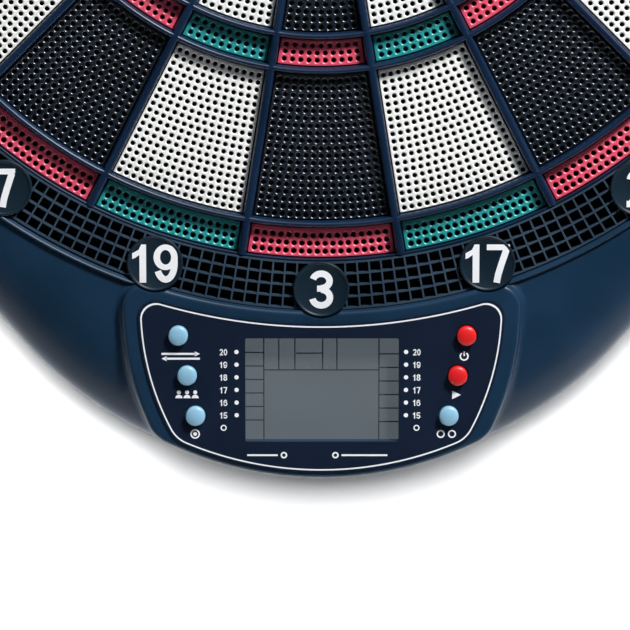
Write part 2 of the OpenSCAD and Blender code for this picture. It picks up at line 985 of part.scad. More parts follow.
module cell() {
    nub_l = 1.3;
    rotate([0, 90, 0]) {
        cylinder(r = cell_r, h = cell_l);
        translate([0, 0, cell_l]) cylinder(r = 2.6, h = nub_l);
    }
}

cell_x = bay_low[0] + 5.5;
cell_h = pad_h + door_t + 0.3 + cell_r;
function cell_y(k) = bay_low[1] + bay_size[1] / 2 + (k - 1) * cell_pitch;

module batteries() {
    color("goldenrod")
        for (k = [0:2])
            translate([cell_x, cell_y(k), cell_h])
                cell();
}

// leaf plates at one end and cone springs at the other
module battery_contacts() {
    plate = 0.5;
    color("silver")
        for (k = [0:2]) {
            translate([bay_low[0] + bay_size[0] - plate, cell_y(k) - 5, cell_h - 5])
                cube([plate, 10, 10]);
            translate([bay_low[0], cell_y(k) - 5, cell_h - 5])
                cube([plate, 10, 10]);
            for (turn = [0:3])
                translate([bay_low[0] + plate + 0.35 + turn * 1.3, cell_y(k), cell_h])
                    rotate([0, 90, 0])
                        rotate_extrude($fn = 32)
                            translate([4.6 - turn * 0.6, 0]) circle(0.35, $fn = 16);
        }
}

// insulated wires inside the case
module wire(points) {
    r = 0.7;
    for (k = [0:len(points) - 2]) {
        d = points[k + 1] - points[k];
        translate(points[k])
            rotate([0, acos(d[2] / norm(d)), atan2(d[1], d[0])])
                cylinder(r = r, h = norm(d), $fn = 24);
    }
    for (k = [1:len(points) - 2])
        translate(points[k]) sphere(r = r + 0.1, $fn = 24);
}

module wires() {
    low_h = 19.2;
    high_h = 21.6;
    socket_back = polar(socket_back_r - 1, socket_angle) + [0, -lobe_drop];
    color("red")
        for (k = [0, 1])
            wire([
                [socket_back[0], socket_back[1] + 3 * k, socket_h],
                [socket_back[0] - 5, socket_back[1] + 3 * k, low_h],
                [54, -232 + 3 * k, low_h],
                [54, -232 + 3 * k, circuit_base]
            ]);
    color("black")
        for (k = [0, 1])
            wire([
                [speaker_at[0] - 12 + 3 * k, speaker_at[1] + 6, pad_h + rear_skin + speaker_t],
                [speaker_at[0] - 12 + 3 * k, speaker_at[1] + 6, low_h],
                [speaker_at[0] - 12 + 3 * k, speaker_at[1] - 6, low_h],
                [speaker_at[0] - 12 + 3 * k, speaker_at[1] - 6, circuit_base]
            ]);
    color("white")
        for (k = [0, 1])
            wire([
                [bay_low[0] + 8, bay_low[1] + 18 + 4 * k, bay_top],
                [bay_low[0] + 8, bay_low[1] + 18 + 4 * k, high_h],
                [bay_low[0] + 22, bay_low[1] + 18 + 4 * k, high_h],
                [bay_low[0] + 22, bay_low[1] + 18 + 4 * k, circuit_base]
            ]);
}

// ---------- nodes ----------

for (i = [0:WEDGES - 1])
    stand() wedge_segments(i);
for (i = [0:len(button_nodes) - 1])
    stand() button(i);
stand() outer_bull();
stand() inner_bull();
stand() spider();
stand() catch_ring();
stand() number_discs();
stand() front_housing();
stand() panel_overlay();
stand() display_lens();
stand() display_glass();
stand() display_frame();
stand() contact_strips();
stand() keypad_mat();
stand() main_board();
stand() controller_chip();
stand() ribbon_socket();
stand() board_screws();
stand() rubber_sheet();
stand() membrane_top();
stand() membrane_spacer();
stand() membrane_bottom();
stand() membrane_ribbon();
stand() backing_plate();
stand() backing_screws();
stand() catch_ring_screws();
stand() rear_cover();
stand() rear_screws();
stand() speaker();
stand() power_socket();
stand() batteries();
stand() battery_contacts();
stand() battery_door();
stand() wires();
stand() wall_pads();
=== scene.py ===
import json
import math

import bmesh
import bpy
from mathutils import Matrix, Vector
from mathutils.geometry import delaunay_2d_cdt

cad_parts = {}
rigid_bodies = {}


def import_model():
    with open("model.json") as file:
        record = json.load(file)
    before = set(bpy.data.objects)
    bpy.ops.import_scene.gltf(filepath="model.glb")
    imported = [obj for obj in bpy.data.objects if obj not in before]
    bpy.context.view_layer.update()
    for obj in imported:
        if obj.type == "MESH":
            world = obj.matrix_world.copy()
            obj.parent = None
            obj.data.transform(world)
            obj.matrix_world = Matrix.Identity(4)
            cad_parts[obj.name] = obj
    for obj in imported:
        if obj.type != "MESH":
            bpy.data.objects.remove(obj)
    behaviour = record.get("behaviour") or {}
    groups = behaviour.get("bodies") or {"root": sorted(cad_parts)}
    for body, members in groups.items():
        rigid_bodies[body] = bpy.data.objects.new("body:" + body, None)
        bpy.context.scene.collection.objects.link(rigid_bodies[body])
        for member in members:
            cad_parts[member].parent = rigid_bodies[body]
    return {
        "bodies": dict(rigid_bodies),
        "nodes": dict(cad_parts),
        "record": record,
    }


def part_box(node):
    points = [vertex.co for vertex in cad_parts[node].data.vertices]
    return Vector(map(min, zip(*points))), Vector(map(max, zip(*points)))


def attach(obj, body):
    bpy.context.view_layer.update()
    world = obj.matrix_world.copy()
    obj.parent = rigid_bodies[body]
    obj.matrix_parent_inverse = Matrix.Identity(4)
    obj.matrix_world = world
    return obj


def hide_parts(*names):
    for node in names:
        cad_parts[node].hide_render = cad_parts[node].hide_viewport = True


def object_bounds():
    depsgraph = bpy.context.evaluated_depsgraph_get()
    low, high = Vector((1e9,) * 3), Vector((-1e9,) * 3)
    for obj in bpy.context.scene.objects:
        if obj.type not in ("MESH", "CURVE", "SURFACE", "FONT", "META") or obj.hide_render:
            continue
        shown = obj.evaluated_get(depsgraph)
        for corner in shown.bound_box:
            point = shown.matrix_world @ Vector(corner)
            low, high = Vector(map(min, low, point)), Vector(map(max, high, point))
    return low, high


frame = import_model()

CAD_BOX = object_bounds()
NODES = frame["nodes"]
MM = 0.001

# Board space: x to the right, y up and h the height above the wall, all in millimetres.

ORDER = [20, 1, 18, 4, 13, 6, 10, 15, 2, 17, 3, 19, 7, 16, 8, 11, 14, 9, 12, 5]
WEDGE = 360 / len(ORDER)
HALF = WEDGE / 2


def top_of(node):
    """Height of a CAD node's front face."""
    return -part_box(node)[0].y / MM


def base_of(node):
    """Height of a CAD node's back face."""
    return -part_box(node)[1].y / MM


def middle_of(node):
    """Middle of a CAD node, seen from the front."""
    lo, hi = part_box(node)
    return (lo.x + hi.x) / 2 / MM, (lo.z + hi.z) / 2 / MM


def size_of(node):
    """Width and height of a CAD node, seen from the front."""
    lo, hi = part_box(node)
    return (hi.x - lo.x) / MM, (hi.z - lo.z) / MM


def radii_of(node, height):
    """The different distances from the bull of a CAD node's corners at one height."""
    found = []
    for v in NODES[node].data.vertices:
        if abs(-v.co.y / MM - height) < 0.01:
            r = math.hypot(v.co.x, v.co.z) / MM
            if all(abs(r - f) > 0.05 for f in found):
                found.append(r)
    return sorted(found)


# heights and sizes taken from the CAD frame
SEGMENT_TOP = top_of("segments_20")
FOOT_BASE = base_of("segments_20")
WEB_TOP = top_of("spider")
CATCH_TOP = 35.0
CASE_R = CAD_BOX[1].x / MM
LOBE_R = 156.5
LOBE_DROP = -CAD_BOX[0].z / MM - LOBE_R
REAR_TOP = base_of("front_housing")
MESA_TOP = top_of("front_housing")

# target
PLAY = 0.5
BULL_GAP = 1
BULL_SINK_R = 1.3
FOOT_T = 2.3
WEB_BASE = FOOT_BASE + FOOT_T + 0.1
FOOT_RIM = 1.2
WEB_W = 3.6
RING_W = 2.6
SIDE = WEB_W / 2 + PLAY

# case
OPENING_R = 218.5
LIP_R = 220.7
LIP_TOP = 36.4
WALL = 2.5
SHOULDER_W = 30
SHOULDER_LOW = 20
SHOULDER_TOP = 35
DISC_RING_R = 210
DISC_R = 11

# tip holes
HOLE_SIDES = 12
SINK_W = 0.38
BORE_DEPTH = 7
SINK_DEPTH = 0.4
SINK_STEP = 0.2
SINK_SLOPE = 0.58


# ---------- points and outlines ----------


def polar(r, a):
    a = math.radians(a)
    return r * math.cos(a), r * math.sin(a)


def arc(c, r, a0, a1, n):
    """Points of an arc, both ends included."""
    return [
        (c[0] + x, c[1] + y)
        for x, y in (polar(r, a0 + (a1 - a0) * k / n) for k in range(n + 1))
    ]


def circle(c, r, n):
    return arc(c, r, 0, 360, n)[:-1]


def heading(v):
    return math.degrees(math.atan2(v[1], v[0]))


def meet(c1, r1, c2, r2):
    """Where two circles meet, left of the way from the first centre to the second."""
    u = Vector(c2) - Vector(c1)
    d = u.length
    u /= d
    a = (r1 * r1 - r2 * r2 + d * d) / (2 * d)
    side = math.sqrt(r1 * r1 - a * a)
    return c1[0] + a * u.x - side * u.y, c1[1] + a * u.y + side * u.x


CONSOLE_TOP_R = 224.3
CONSOLE_HALF_W = 70.4
CONSOLE_BOTTOM = 281.3


def console(top, side, bottom):
    """The console's outline, grown by separate amounts at the top, the sides and the bottom."""
    side_r, side_y, low_r = 105, -217, 134.9
    r_top, r_side, r_low = CONSOLE_TOP_R - top, side_r + side, low_r + bottom
    f_top = 6 + min(top, side) / 2
    f_low = 12 + min(side, bottom) / 2
    c_side = (CONSOLE_HALF_W - side_r, side_y)
    c_low = (0, low_r - CONSOLE_BOTTOM)
    c1 = meet((0, 0), r_top + f_top, c_side, r_side - f_top)
    c2 = meet(c_low, r_low - f_low, c_side, r_side - f_low)
    a_top = heading(c1)
    a_side = heading((c1[0] - c_side[0], c1[1] - c_side[1]))
    b_side = heading((c2[0] - c_side[0], c2[1] - c_side[1]))
    b_low = heading((c2[0] - c_low[0], c2[1] - c_low[1]))
    half = (
        arc((0, 0), r_top, -90, a_top, 24)
        + arc(c1, f_top, a_top + 180, a_side, 14)[1:]
        + arc(c_side, r_side, a_side, b_side, 24)[1:]
        + arc(c2, f_low, b_side, b_low, 14)[1:]
        + arc(c_low, r_low, b_low, -90, 30)[1:]
    )
    return [(-x, y) for x, y in half] + [(x, y) for x, y in half[-2:0:-1]]


def sector(r_in, r_out, side, n=16):
    """Outline of a segment of the wedge round the upward axis, kept side away from the wedge lines."""
    out = HALF - math.degrees(math.asin(side / r_out))
    inn = HALF - math.degrees(math.asin(side / r_in))
    return arc((0, 0), r_out, 90 - out, 90 + out, n) + arc((0, 0), r_in, 90 + inn, 90 - inn, n)


# ---------- meshes ----------


def region(add, cut=()):
    """Points and triangles of the area inside the add outlines and outside the cut ones,
    and where each point of the outlines ended up."""
    points, loops = [], []
    for loop in [*add, *cut]:
        order = list(range(len(points), len(points) + len(loop)))
        loops.append(order if turn(loop) > 0 else order[::-1])
        points += [Vector(p) for p in loop]
    verts, _, faces, came_from, _, covers = delaunay_2d_cdt(points, [], loops, 0, 1e-6)
    kept = [
        tuple(f)
        for f, c in zip(faces, covers)
        if c and min(c) < len(add) and max(c) < len(add)
    ]
    kept = [f if turn([verts[i] for i in f]) > 0 else f[::-1] for f in kept]
    used = sorted({i for f in kept for i in f})
    new = {old: k for k, old in enumerate(used)}
    at = {}
    for old in used:
        for i in came_from[old]:
            at[i] = new[old]
    return [tuple(verts[i]) for i in used], [tuple(new[i] for i in f) for f in kept], at


def turn(p):
    """Above 0 for an outline that runs anticlockwise."""
    return sum(a[0] * b[1] - a[1] * b[0] for a, b in zip(p, [*p[1:], p[0]]))


def rim_edges(faces):
    """Edges that only one face uses, in that face's direction."""
    used = {(a, b) for f in faces for a, b in zip(f, f[1:] + f[:1])}
    return [(a, b) for a, b in used if (b, a) not in used]


def slab(add, cut, low, high):
    """A closed solid: an area between two heights."""
    flat, faces, _ = region(add, cut)
    n = len(flat)
    verts = [(x, y, high) for x, y in flat] + [(x, y, low) for x, y in flat]
    walls = [(a, a + n, b + n, b) for a, b in rim_edges(faces)]
    return verts, faces + [tuple(i + n for i in f[::-1]) for f in faces] + walls


def stack(rings):
    """A solid from closed rings of points that correspond, from the front to the back."""
    n = len(rings[0])
    verts = [p for ring in rings for p in ring]
    faces = [
        (k * n + i, (k + 1) * n + i, (k + 1) * n + (i + 1) % n, k * n + (i + 1) % n)
        for k in range(len(rings) - 1)
        for i in range(n)
    ]
    last = (len(rings) - 1) * n
    faces += [tuple(range(n)), tuple(range(last + n - 1, last - 1, -1))]
    return verts, faces


def tube(profile, n):
    """A solid turned round the bull's axis, from a closed profile of (radius, height)."""
    rings = [[(*polar(r, 360 * i / n), h) for r, h in profile] for i in range(n)]
    m = len(profile)
    verts = [p for ring in rings for p in ring]
    faces = [
        (i * m + k, i * m + (k + 1) % m, (i + 1) % n * m + (k + 1) % m, (i + 1) % n * m + k)
        for i in range(n)
        for k in range(m)
    ]
    return verts, faces


def turned(profile, n, centre=(0, 0)):
    """A solid turned round its own axis, from an open profile of (radius, height), front to back."""
    rings = [
        [(centre[0] + x, centre[1] + y, h) for x, y in circle((0, 0), r, n)] for r, h in profile
    ]
    return stack(rings)


def join(*parts):
    """One shape from several that don't touch."""
    verts, faces = [], []
    for v, f in parts:
        start = len(verts)
        verts += v
        faces += [tuple(i + start for i in face) for face in f]
    return verts, faces


def mesh_of(name, shape, crease=35):
    """A Blender mesh from points in board space, with edges sharper than crease degrees kept."""
    verts, faces = shape
    mesh = bpy.data.meshes.new(name)
    mesh.from_pydata([(x * MM, -h * MM, y * MM) for x, y, h in verts], [], faces)
    return shaded(mesh, crease)


def shaded(mesh, crease=35):
    work = bmesh.new()
    work.from_mesh(mesh)
    bmesh.ops.recalc_face_normals(work, faces=work.faces)
    work.to_mesh(mesh)
    work.free()
    mesh.shade_smooth()
    mesh.set_sharp_from_angle(angle=math.radians(crease))
    return mesh


def show(name, mesh, material, body="root", replaces=(), turn_by=0):
    """Puts a mesh in the scene as a piece of the object."""
    obj = bpy.data.objects.new(name, mesh)
    bpy.context.scene.collection.objects.link(obj)
    obj.matrix_world = Matrix.Rotation(math.radians(turn_by), 4, "Y")
    if not mesh.materials:
        mesh.materials.append(material)
    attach(obj, body)
    if replaces:
        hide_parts(*replaces)
    return obj


def combined(name, shape, steps, crease=35):
    """A mesh made from a solid by adding and cutting others: steps are (UNION or DIFFERENCE, solid)."""
    obj = bpy.data.objects.new(name, mesh_of(name, shape))
    bpy.context.scene.collection.objects.link(obj)
    helpers = []
    for operation, solid in steps:
        tool = bpy.data.objects.new("tool", mesh_of("tool", solid))
        bpy.context.scene.collection.objects.link(tool)
        helpers.append(tool)
        change = obj.modifiers.new(operation, "BOOLEAN")
        change.operation = operation
        change.solver = "MANIFOLD"
        change.object = tool
    result = bpy.data.meshes.new_from_object(
        obj.evaluated_get(bpy.context.evaluated_depsgraph_get())
    )
    result.name = name
    result.materials.clear()
    for o in [obj, *helpers]:
        bpy.data.objects.remove(o)
    return shaded(result, crease)


# ---------- materials ----------


# how dark the painted shade inside the tip holes is, as a share of the colour
HOLE_SHADE = 0.12


def finish_material(
    name, low, high, rough, cloud=0.03, grain=0.0006, bump=0.1, depth=0.00005, holes=None, **sockets
):
    """A moulded or printed finish: the colour drifts between two tones, the roughness varies
    between two values, and a fine grain bumps the surface. With holes, a front face height, the
    colour falls to a painted shade, a dark copy of itself, within a millimetre below that face."""
    made = bpy.data.materials.new(name)
    made.use_nodes = True
    nodes, links = made.node_tree.nodes, made.node_tree.links
    shader = nodes["Principled BSDF"]
    where = nodes.new("ShaderNodeTexCoord")
    clouds = nodes.new("ShaderNodeTexNoise")
    clouds.inputs["Scale"].default_value = 1 / cloud
    clouds.inputs["Detail"].default_value = 4
    tones = nodes.new("ShaderNodeValToRGB")
    tones.color_ramp.elements[0].position = 0.35
    tones.color_ramp.elements[0].color = (*low, 1)
    tones.color_ramp.elements[1].position = 0.65
    tones.color_ramp.elements[1].color = (*high, 1)
    fine = nodes.new("ShaderNodeTexNoise")
    fine.inputs["Scale"].default_value = 1 / grain
    fine.inputs["Detail"].default_value = 2
    spread = nodes.new("ShaderNodeMapRange")
    spread.inputs["To Min"].default_value = rough[0]
    spread.inputs["To Max"].default_value = rough[1]
    bumps = nodes.new("ShaderNodeBump")
    bumps.inputs["Strength"].default_value = bump
    bumps.inputs["Distance"].default_value = depth
    links.new(where.outputs["Object"], clouds.inputs["Vector"])
    links.new(where.outputs["Object"], fine.inputs["Vector"])
    links.new(clouds.outputs["Fac"], tones.inputs["Fac"])
    links.new(tones.outputs["Color"], shader.inputs["Base Color"])
    # painted shade: below the front face, inside the tip holes, the colour darkens to a dark copy of
    # itself
    if holes:
        parts = nodes.new("ShaderNodeSeparateXYZ")
        below = nodes.new("ShaderNodeMapRange")
        below.inputs["From Min"].default_value = -(holes - SINK_DEPTH - 0.1) * MM
        below.inputs["From Max"].default_value = -(holes - SINK_DEPTH - 0.9) * MM
        fall = nodes.new("ShaderNodeMix")
        fall.data_type = "RGBA"
        fall.inputs["B"].default_value = (*[c * HOLE_SHADE for c in low], 1)
        links.new(where.outputs["Object"], parts.inputs["Vector"])
        links.new(parts.outputs["Y"], below.inputs["Value"])
        links.new(below.outputs["Result"], fall.inputs["Factor"])
        links.new(tones.outputs["Color"], fall.inputs["A"])
        links.new(fall.outputs["Result"], shader.inputs["Base Color"])
    links.new(clouds.outputs["Fac"], spread.inputs["Value"])
    links.new(spread.outputs["Result"], shader.inputs["Roughness"])
    links.new(fine.outputs["Fac"], bumps.inputs["Height"])
    links.new(bumps.outputs["Normal"], shader.inputs["Normal"])
    for key, value in sockets.items():
        shader.inputs[key.replace("_", " ")].default_value = value
    return made


def srgb(r, g, b):
    """A colour given as 0 to 255 on screen, in the renderer's linear light."""
    return tuple(
        c / 255 / 12.92 if c / 255 <= 0.04045 else ((c / 255 + 0.055) / 1.055) ** 2.4
        for c in (r, g, b)
    )


FINISHES = {
    # the segment finishes given holes= paint shade into their tip holes
    "segment_black": finish_material(
        "segment_black", srgb(17, 24, 34), srgb(21, 29, 40), (0.26, 0.34), bump=0.05,
        holes=SEGMENT_TOP, Specular_IOR_Level=1,
    ),
    "segment_white": finish_material(
        "segment_white", srgb(240, 240, 236), srgb(246, 246, 243), (0.4, 0.5), bump=0.05,
        holes=SEGMENT_TOP,
    ),
    "segment_red": finish_material(
        "segment_red", srgb(234, 84, 110), srgb(242, 94, 120), (0.3, 0.4), bump=0.05,
        holes=SEGMENT_TOP, Specular_IOR_Level=0.9,
    ),
    "segment_teal": finish_material(
        "segment_teal", srgb(38, 150, 152), srgb(46, 162, 164), (0.3, 0.4), bump=0.05,
        holes=SEGMENT_TOP, Specular_IOR_Level=0.9,
    ),
    "web_plastic": finish_material(
        "web_plastic", srgb(8, 30, 54), srgb(12, 36, 64), (0.3, 0.4), bump=0.15,
        Specular_IOR_Level=0.4,
    ),
    "ring_plastic": finish_material(
        "ring_plastic", srgb(44, 62, 78), srgb(54, 72, 90), (0.38, 0.5), bump=0.15
    ),
    "disc_plastic": finish_material(
        "disc_plastic", srgb(14, 32, 44), srgb(17, 37, 50), (0.4, 0.5), bump=0.15,
        Specular_IOR_Level=0.25,
    ),
    "case_plastic": finish_material(
        "case_plastic", srgb(20, 46, 68), srgb(25, 52, 77), (0.3, 0.4), bump=0.2,
        Specular_IOR_Level=0.3,
    ),
    "overlay_print": finish_material(
        "overlay_print", srgb(13, 26, 45), srgb(15, 29, 50), (0.4, 0.48), bump=0.08,
        Specular_IOR_Level=0.25,
    ),
    # The display's emission is painted light: a faint glow, though the display is no lamp, that lifts
    # the shade the well casts on it.
    "display_grey": finish_material(
        "display_grey", srgb(42, 46, 49), srgb(46, 50, 54), (0.35, 0.42), bump=0.03,
        Emission_Color=(0.2, 0.245, 0.28, 1), Emission_Strength=0.46,
    ),
    "button_blue": finish_material(
        "button_blue", srgb(134, 182, 208), srgb(144, 192, 218), (0.34, 0.42), bump=0.05
    ),
    "button_red": finish_material(
        "button_red", srgb(214, 26, 30), srgb(224, 32, 34), (0.34, 0.42), bump=0.05
    ),
    "rear_plastic": finish_material(
        "rear_plastic", srgb(38, 41, 47), srgb(42, 45, 51), (0.45, 0.6), bump=0.35, grain=0.0009
    ),
    "soft_rubber": finish_material(
        "soft_rubber", srgb(28, 28, 29), srgb(38, 38, 40), (0.7, 0.85), bump=0.3
    ),
    "sheet_rubber": finish_material(
        "sheet_rubber", srgb(40, 40, 41), srgb(52, 52, 53), (0.7, 0.85), bump=0.3
    ),
    "film_clear": finish_material(
        "film_clear", srgb(205, 200, 180), srgb(222, 216, 196), (0.2, 0.3), bump=0.03
    ),
    "board_green": finish_material(
        "board_green", srgb(16, 74, 42), srgb(22, 88, 50), (0.3, 0.45), bump=0.2
    ),
    "chip_black": finish_material(
        "chip_black", srgb(26, 26, 27), srgb(34, 34, 36), (0.5, 0.6), bump=0.15
    ),
    "socket_cream": finish_material(
        "socket_cream", srgb(222, 214, 190), srgb(232, 225, 204), (0.45, 0.55), bump=0.1
    ),
    "fibreboard": finish_material(
        "fibreboard", srgb(112, 84, 56), srgb(142, 110, 76), (0.75, 0.9), cloud=0.004, bump=0.5
    ),
    "screw_steel": finish_material(
        "screw_steel", srgb(150, 152, 156), srgb(178, 180, 184), (0.25, 0.4), bump=0.1, Metallic=1
    ),
    "cell_wrap": finish_material(
        "cell_wrap", srgb(46, 48, 52), srgb(56, 58, 64), (0.25, 0.35), bump=0.03
    ),
    "wire_sleeve": finish_material(
        "wire_sleeve", srgb(150, 26, 24), srgb(168, 34, 30), (0.4, 0.5), bump=0.1
    ),
    "clear_window": finish_material(
        "clear_window", srgb(110, 114, 118), srgb(120, 124, 128), (0.06, 0.1), bump=0.02, Alpha=0.08
    ),
    "print_white": finish_material(
        "print_white", srgb(244, 246, 250), srgb(250, 251, 253), (0.4, 0.5), bump=0.04
    ),
    "display_line": finish_material(
        "display_line", srgb(36, 40, 44), srgb(42, 46, 50), (0.4, 0.5), bump=0.02
    ),
}


def finish_cad_nodes():
    """Gives each CAD node the procedural finish of its slot in the record."""
    for part in frame["record"]["subparts"]:
        mesh = NODES[part["node"]].data
        mesh.materials.clear()
        mesh.materials.append(FINISHES[part["material_slot"]])


# ---------- target segments ----------


def hole_rows(r_in, r_out, margin, side_margin, pitch, spacing):
    """Centres of a segment's tip holes: rows on arcs round the bull, from the outside in."""
    centres = []
    for k in range(int((r_out - margin - r_in - 1.7) / pitch + 0.01) + 1):
        r = r_out - margin - k * pitch
        half = HALF - math.degrees(math.asin(min(1, (SIDE + side_margin) / r)))
        if half < 0:
            continue
        count = int(2 * math.radians(half) * r / spacing) + 1
        for i in range(count):
            a = 90 if count == 1 else 90 + half - 2 * half * i / (count - 1)
            centres.append(polar(r, a))
    return centres


def pierced(rings, centres, sink_r, inner_rings=None):
    """A segment: rings of points from the front face's edge to the back, and tip holes with a
    countersink. A ring-shaped segment has inner rings too."""
    top = rings[0][0][2]
    face = [(x, y) for x, y, _ in rings[0]]
    cuts = [circle(c, sink_r, HOLE_SIDES) for c in centres]
    inner = [[(x, y) for x, y, _ in inner_rings[0]]] if inner_rings else []
    flat, faces, at = region([face], inner + cuts)
    verts = [(x, y, top) for x, y in flat]

    def wall(first, layers):
        nonlocal verts
        before = first
        for layer in layers:
            start = len(verts)
            verts += layer
            n = len(layer)
            now = list(range(start, start + n))
            faces.extend(
                (before[i], before[(i + 1) % n], now[(i + 1) % n], now[i]) for i in range(n)
            )
            before = now
        return before

    outer_last = wall([at[i] for i in range(len(face))], rings[1:])
    start = len(face)
    inner_last = None
    if inner_rings:
        n = len(inner[0])
        inner_last = wall([at[start + i] for i in range(n)], inner_rings[1:])
        start += n
    bore_r = sink_r - SINK_W
    for k, c in enumerate(centres):
        mouth = [at[start + k * HOLE_SIDES + i] for i in range(HOLE_SIDES)]
        layers = [
            (sink_r - SINK_STEP, SINK_STEP * SINK_SLOPE), (bore_r, SINK_DEPTH), (bore_r, BORE_DEPTH)
        ]
        last = wall(
            mouth, [[(x, y, top - d) for x, y in circle(c, r, HOLE_SIDES)] for r, d in layers]
        )
        faces.append(tuple(last))
    if inner_last:
        n = len(inner_last)
        faces.extend(
            (outer_last[i], outer_last[(i + 1) % n], inner_last[(i + 1) % n], inner_last[i])
            for i in range(n)
        )
    else:
        faces.append(tuple(outer_last))
    return verts, faces


def block_layers(outline):
    """Insets and heights down the side of a segment: rounded front edge, block, foot."""
    foot_top = FOOT_BASE + FOOT_T
    steps = [
        (0.12, SEGMENT_TOP), (0.03, SEGMENT_TOP - 0.04), (0, SEGMENT_TOP - 0.15),
        (0, foot_top), (-FOOT_RIM, foot_top), (-FOOT_RIM, FOOT_BASE),
    ]
    return [[(x, y, h) for x, y in outline(inset)] for inset, h in steps]


def segment_shape(r_in, r_out, centres, sink_r):
    rings = block_layers(lambda d: sector(r_in + d, r_out - d, SIDE + d))
    return pierced(rings, centres, sink_r)


def make_segments():
    radii = radii_of("segments_20", SEGMENT_TOP)
    inner_in, inner_out, triple_in, triple_out, outer_in, outer_out, double_in, double_out = radii
    single = dict(margin=1.5, side_margin=1.75, pitch=2.93, spacing=2.9)
    double = dict(margin=2.0, side_margin=2.25, pitch=3.2, spacing=3.0)
    triple = dict(margin=2.0, side_margin=2.25, pitch=2.9, spacing=3.0)
    kinds = {
        "double": (double_in, double_out, double, 1.46, True),
        "outer_single": (outer_in, outer_out, single, 1.33, False),
        "triple": (triple_in, triple_out, triple, 1.33, True),
        "inner_single": (inner_in, inner_out, single, 1.33, False),
    }
    for kind, (r_in, r_out, rows, sink_r, scoring) in kinds.items():
        shape = segment_shape(r_in, r_out, hole_rows(r_in, r_out, **rows), sink_r)
        for dark in (True, False):
            slot = ("segment_red" if dark else "segment_teal") if scoring else (
                "segment_black" if dark else "segment_white"
            )
            mesh = mesh_of(f"{kind}_{slot}", shape, 28)
            for i, number in enumerate(ORDER):
                if (i % 2 == 0) == dark:
                    show(
                        f"{kind}_{number}", mesh, FINISHES[slot], f"segments_{number}",
                        [f"segments_{number}"], turn_by=WEDGE * i,
                    )


def make_bulls():
    bull_r = size_of("outer_bull")[0] / 2 - FOOT_RIM
    button_r = size_of("inner_bull")[0] / 2
    bore_r = button_r + BULL_GAP
    outer = block_layers(lambda d: circle((0, 0), bull_r - d, 72))
    inner = block_layers(lambda d: circle((0, 0), bore_r + max(d, 0), 72))
    centres = [
        polar(r, 360 * k / n) for r, n in ((11, 23), (13.8, 29), (16.6, 35)) for k in range(n)
    ]
    mesh = mesh_of("outer_bull_face", pierced(outer, centres, BULL_SINK_R, inner))
    show("outer_bull_face", mesh, FINISHES["segment_teal"], "outer_bull", ["outer_bull"])
    rings = block_layers(lambda d: circle((0, 0), button_r - max(d, 0), 48))
    centres = [(0, 0)] + [polar(r, 360 * k / n) for r, n in ((3, 6), (6, 13)) for k in range(n)]
    mesh = mesh_of("inner_bull_face", pierced(rings, centres, BULL_SINK_R))
    show("inner_bull_face", mesh, FINISHES["segment_red"], "inner_bull", ["inner_bull"])


# ---------- web, catch ring and numbers ----------


def web_profile(half):
    """Half widths and heights over a web's rounded top."""
    return [
        (half, WEB_BASE), (half, WEB_TOP - 3.2), (half * 0.93, WEB_TOP - 1.5),
        (half * 0.8, WEB_TOP - 0.8), (half * 0.6, WEB_TOP - 0.33), (half * 0.35, WEB_TOP - 0.08),
        (half * 0.12, WEB_TOP),
    ]


def web_ring(r_in, width):
    side = web_profile(width / 2)
    middle = r_in + width / 2
    return tube(
        [(middle - w, h) for w, h in side] + [(middle + w, h) for w, h in side[::-1]], 192
    )


def web_bar(a, r_in, r_out):
    side = web_profile(WEB_W / 2)
    across = [(-w, h) for w, h in side] + [(w, h) for w, h in side[::-1]]
    c, s = math.cos(math.radians(a)), math.sin(math.radians(a))
    rings = [[(r * c - w * s, r * s + w * c, h) for w, h in across] for r in (r_in, r_out)]
    return stack(rings)


RIM_W = 0.8
FLANGE_T = 2.3


def make_web():
    radii = radii_of("segments_20", SEGMENT_TOP)
    bull_r = size_of("outer_bull")[0] / 2 - FOOT_RIM
    starts = [bull_r + PLAY, radii[1] + PLAY, radii[3] + PLAY, radii[5] + PLAY]
    last = radii[7] + PLAY
    flange_r = size_of("spider")[0] / 2
    solids = [web_ring(r, RING_W) for r in starts[1:]]
    rim_top = base_of("number_discs") - 0.3
    rim_r = last + RIM_W
    rim = [
        (last, WEB_BASE), (last, rim_top - 0.2), (last + 0.2, rim_top),
        (rim_r - 0.2, rim_top), (rim_r, rim_top - 0.2), (rim_r, WEB_BASE),
    ]
    flange = [
        (last + RIM_W / 2, WEB_BASE), (last + RIM_W / 2, WEB_BASE + FLANGE_T),
        (flange_r, WEB_BASE + FLANGE_T), (flange_r, WEB_BASE),
    ]
    solids += [tube(rim, 192), tube(flange, 192)]
    for i in range(len(ORDER)):
        solids.append(web_bar(WEDGE * (i + 0.5), starts[0] + RING_W / 2, last + 0.5))
    mesh = combined("web", web_ring(starts[0], RING_W), [("UNION", s) for s in solids])
    show("web", mesh, FINISHES["web_plastic"], "root", ["spider"])


CELL_COUNT = 270
CELL_ROWS = 4
CELL_WALL = 0.7
CATCH_INNER_R = 199.3
POST_R = 10.4
CATCH_R = 218.1
CATCH_FLANGE_R = 224.3
CELL_FLOOR = 24.4
CELL_FLOOR_T = 2


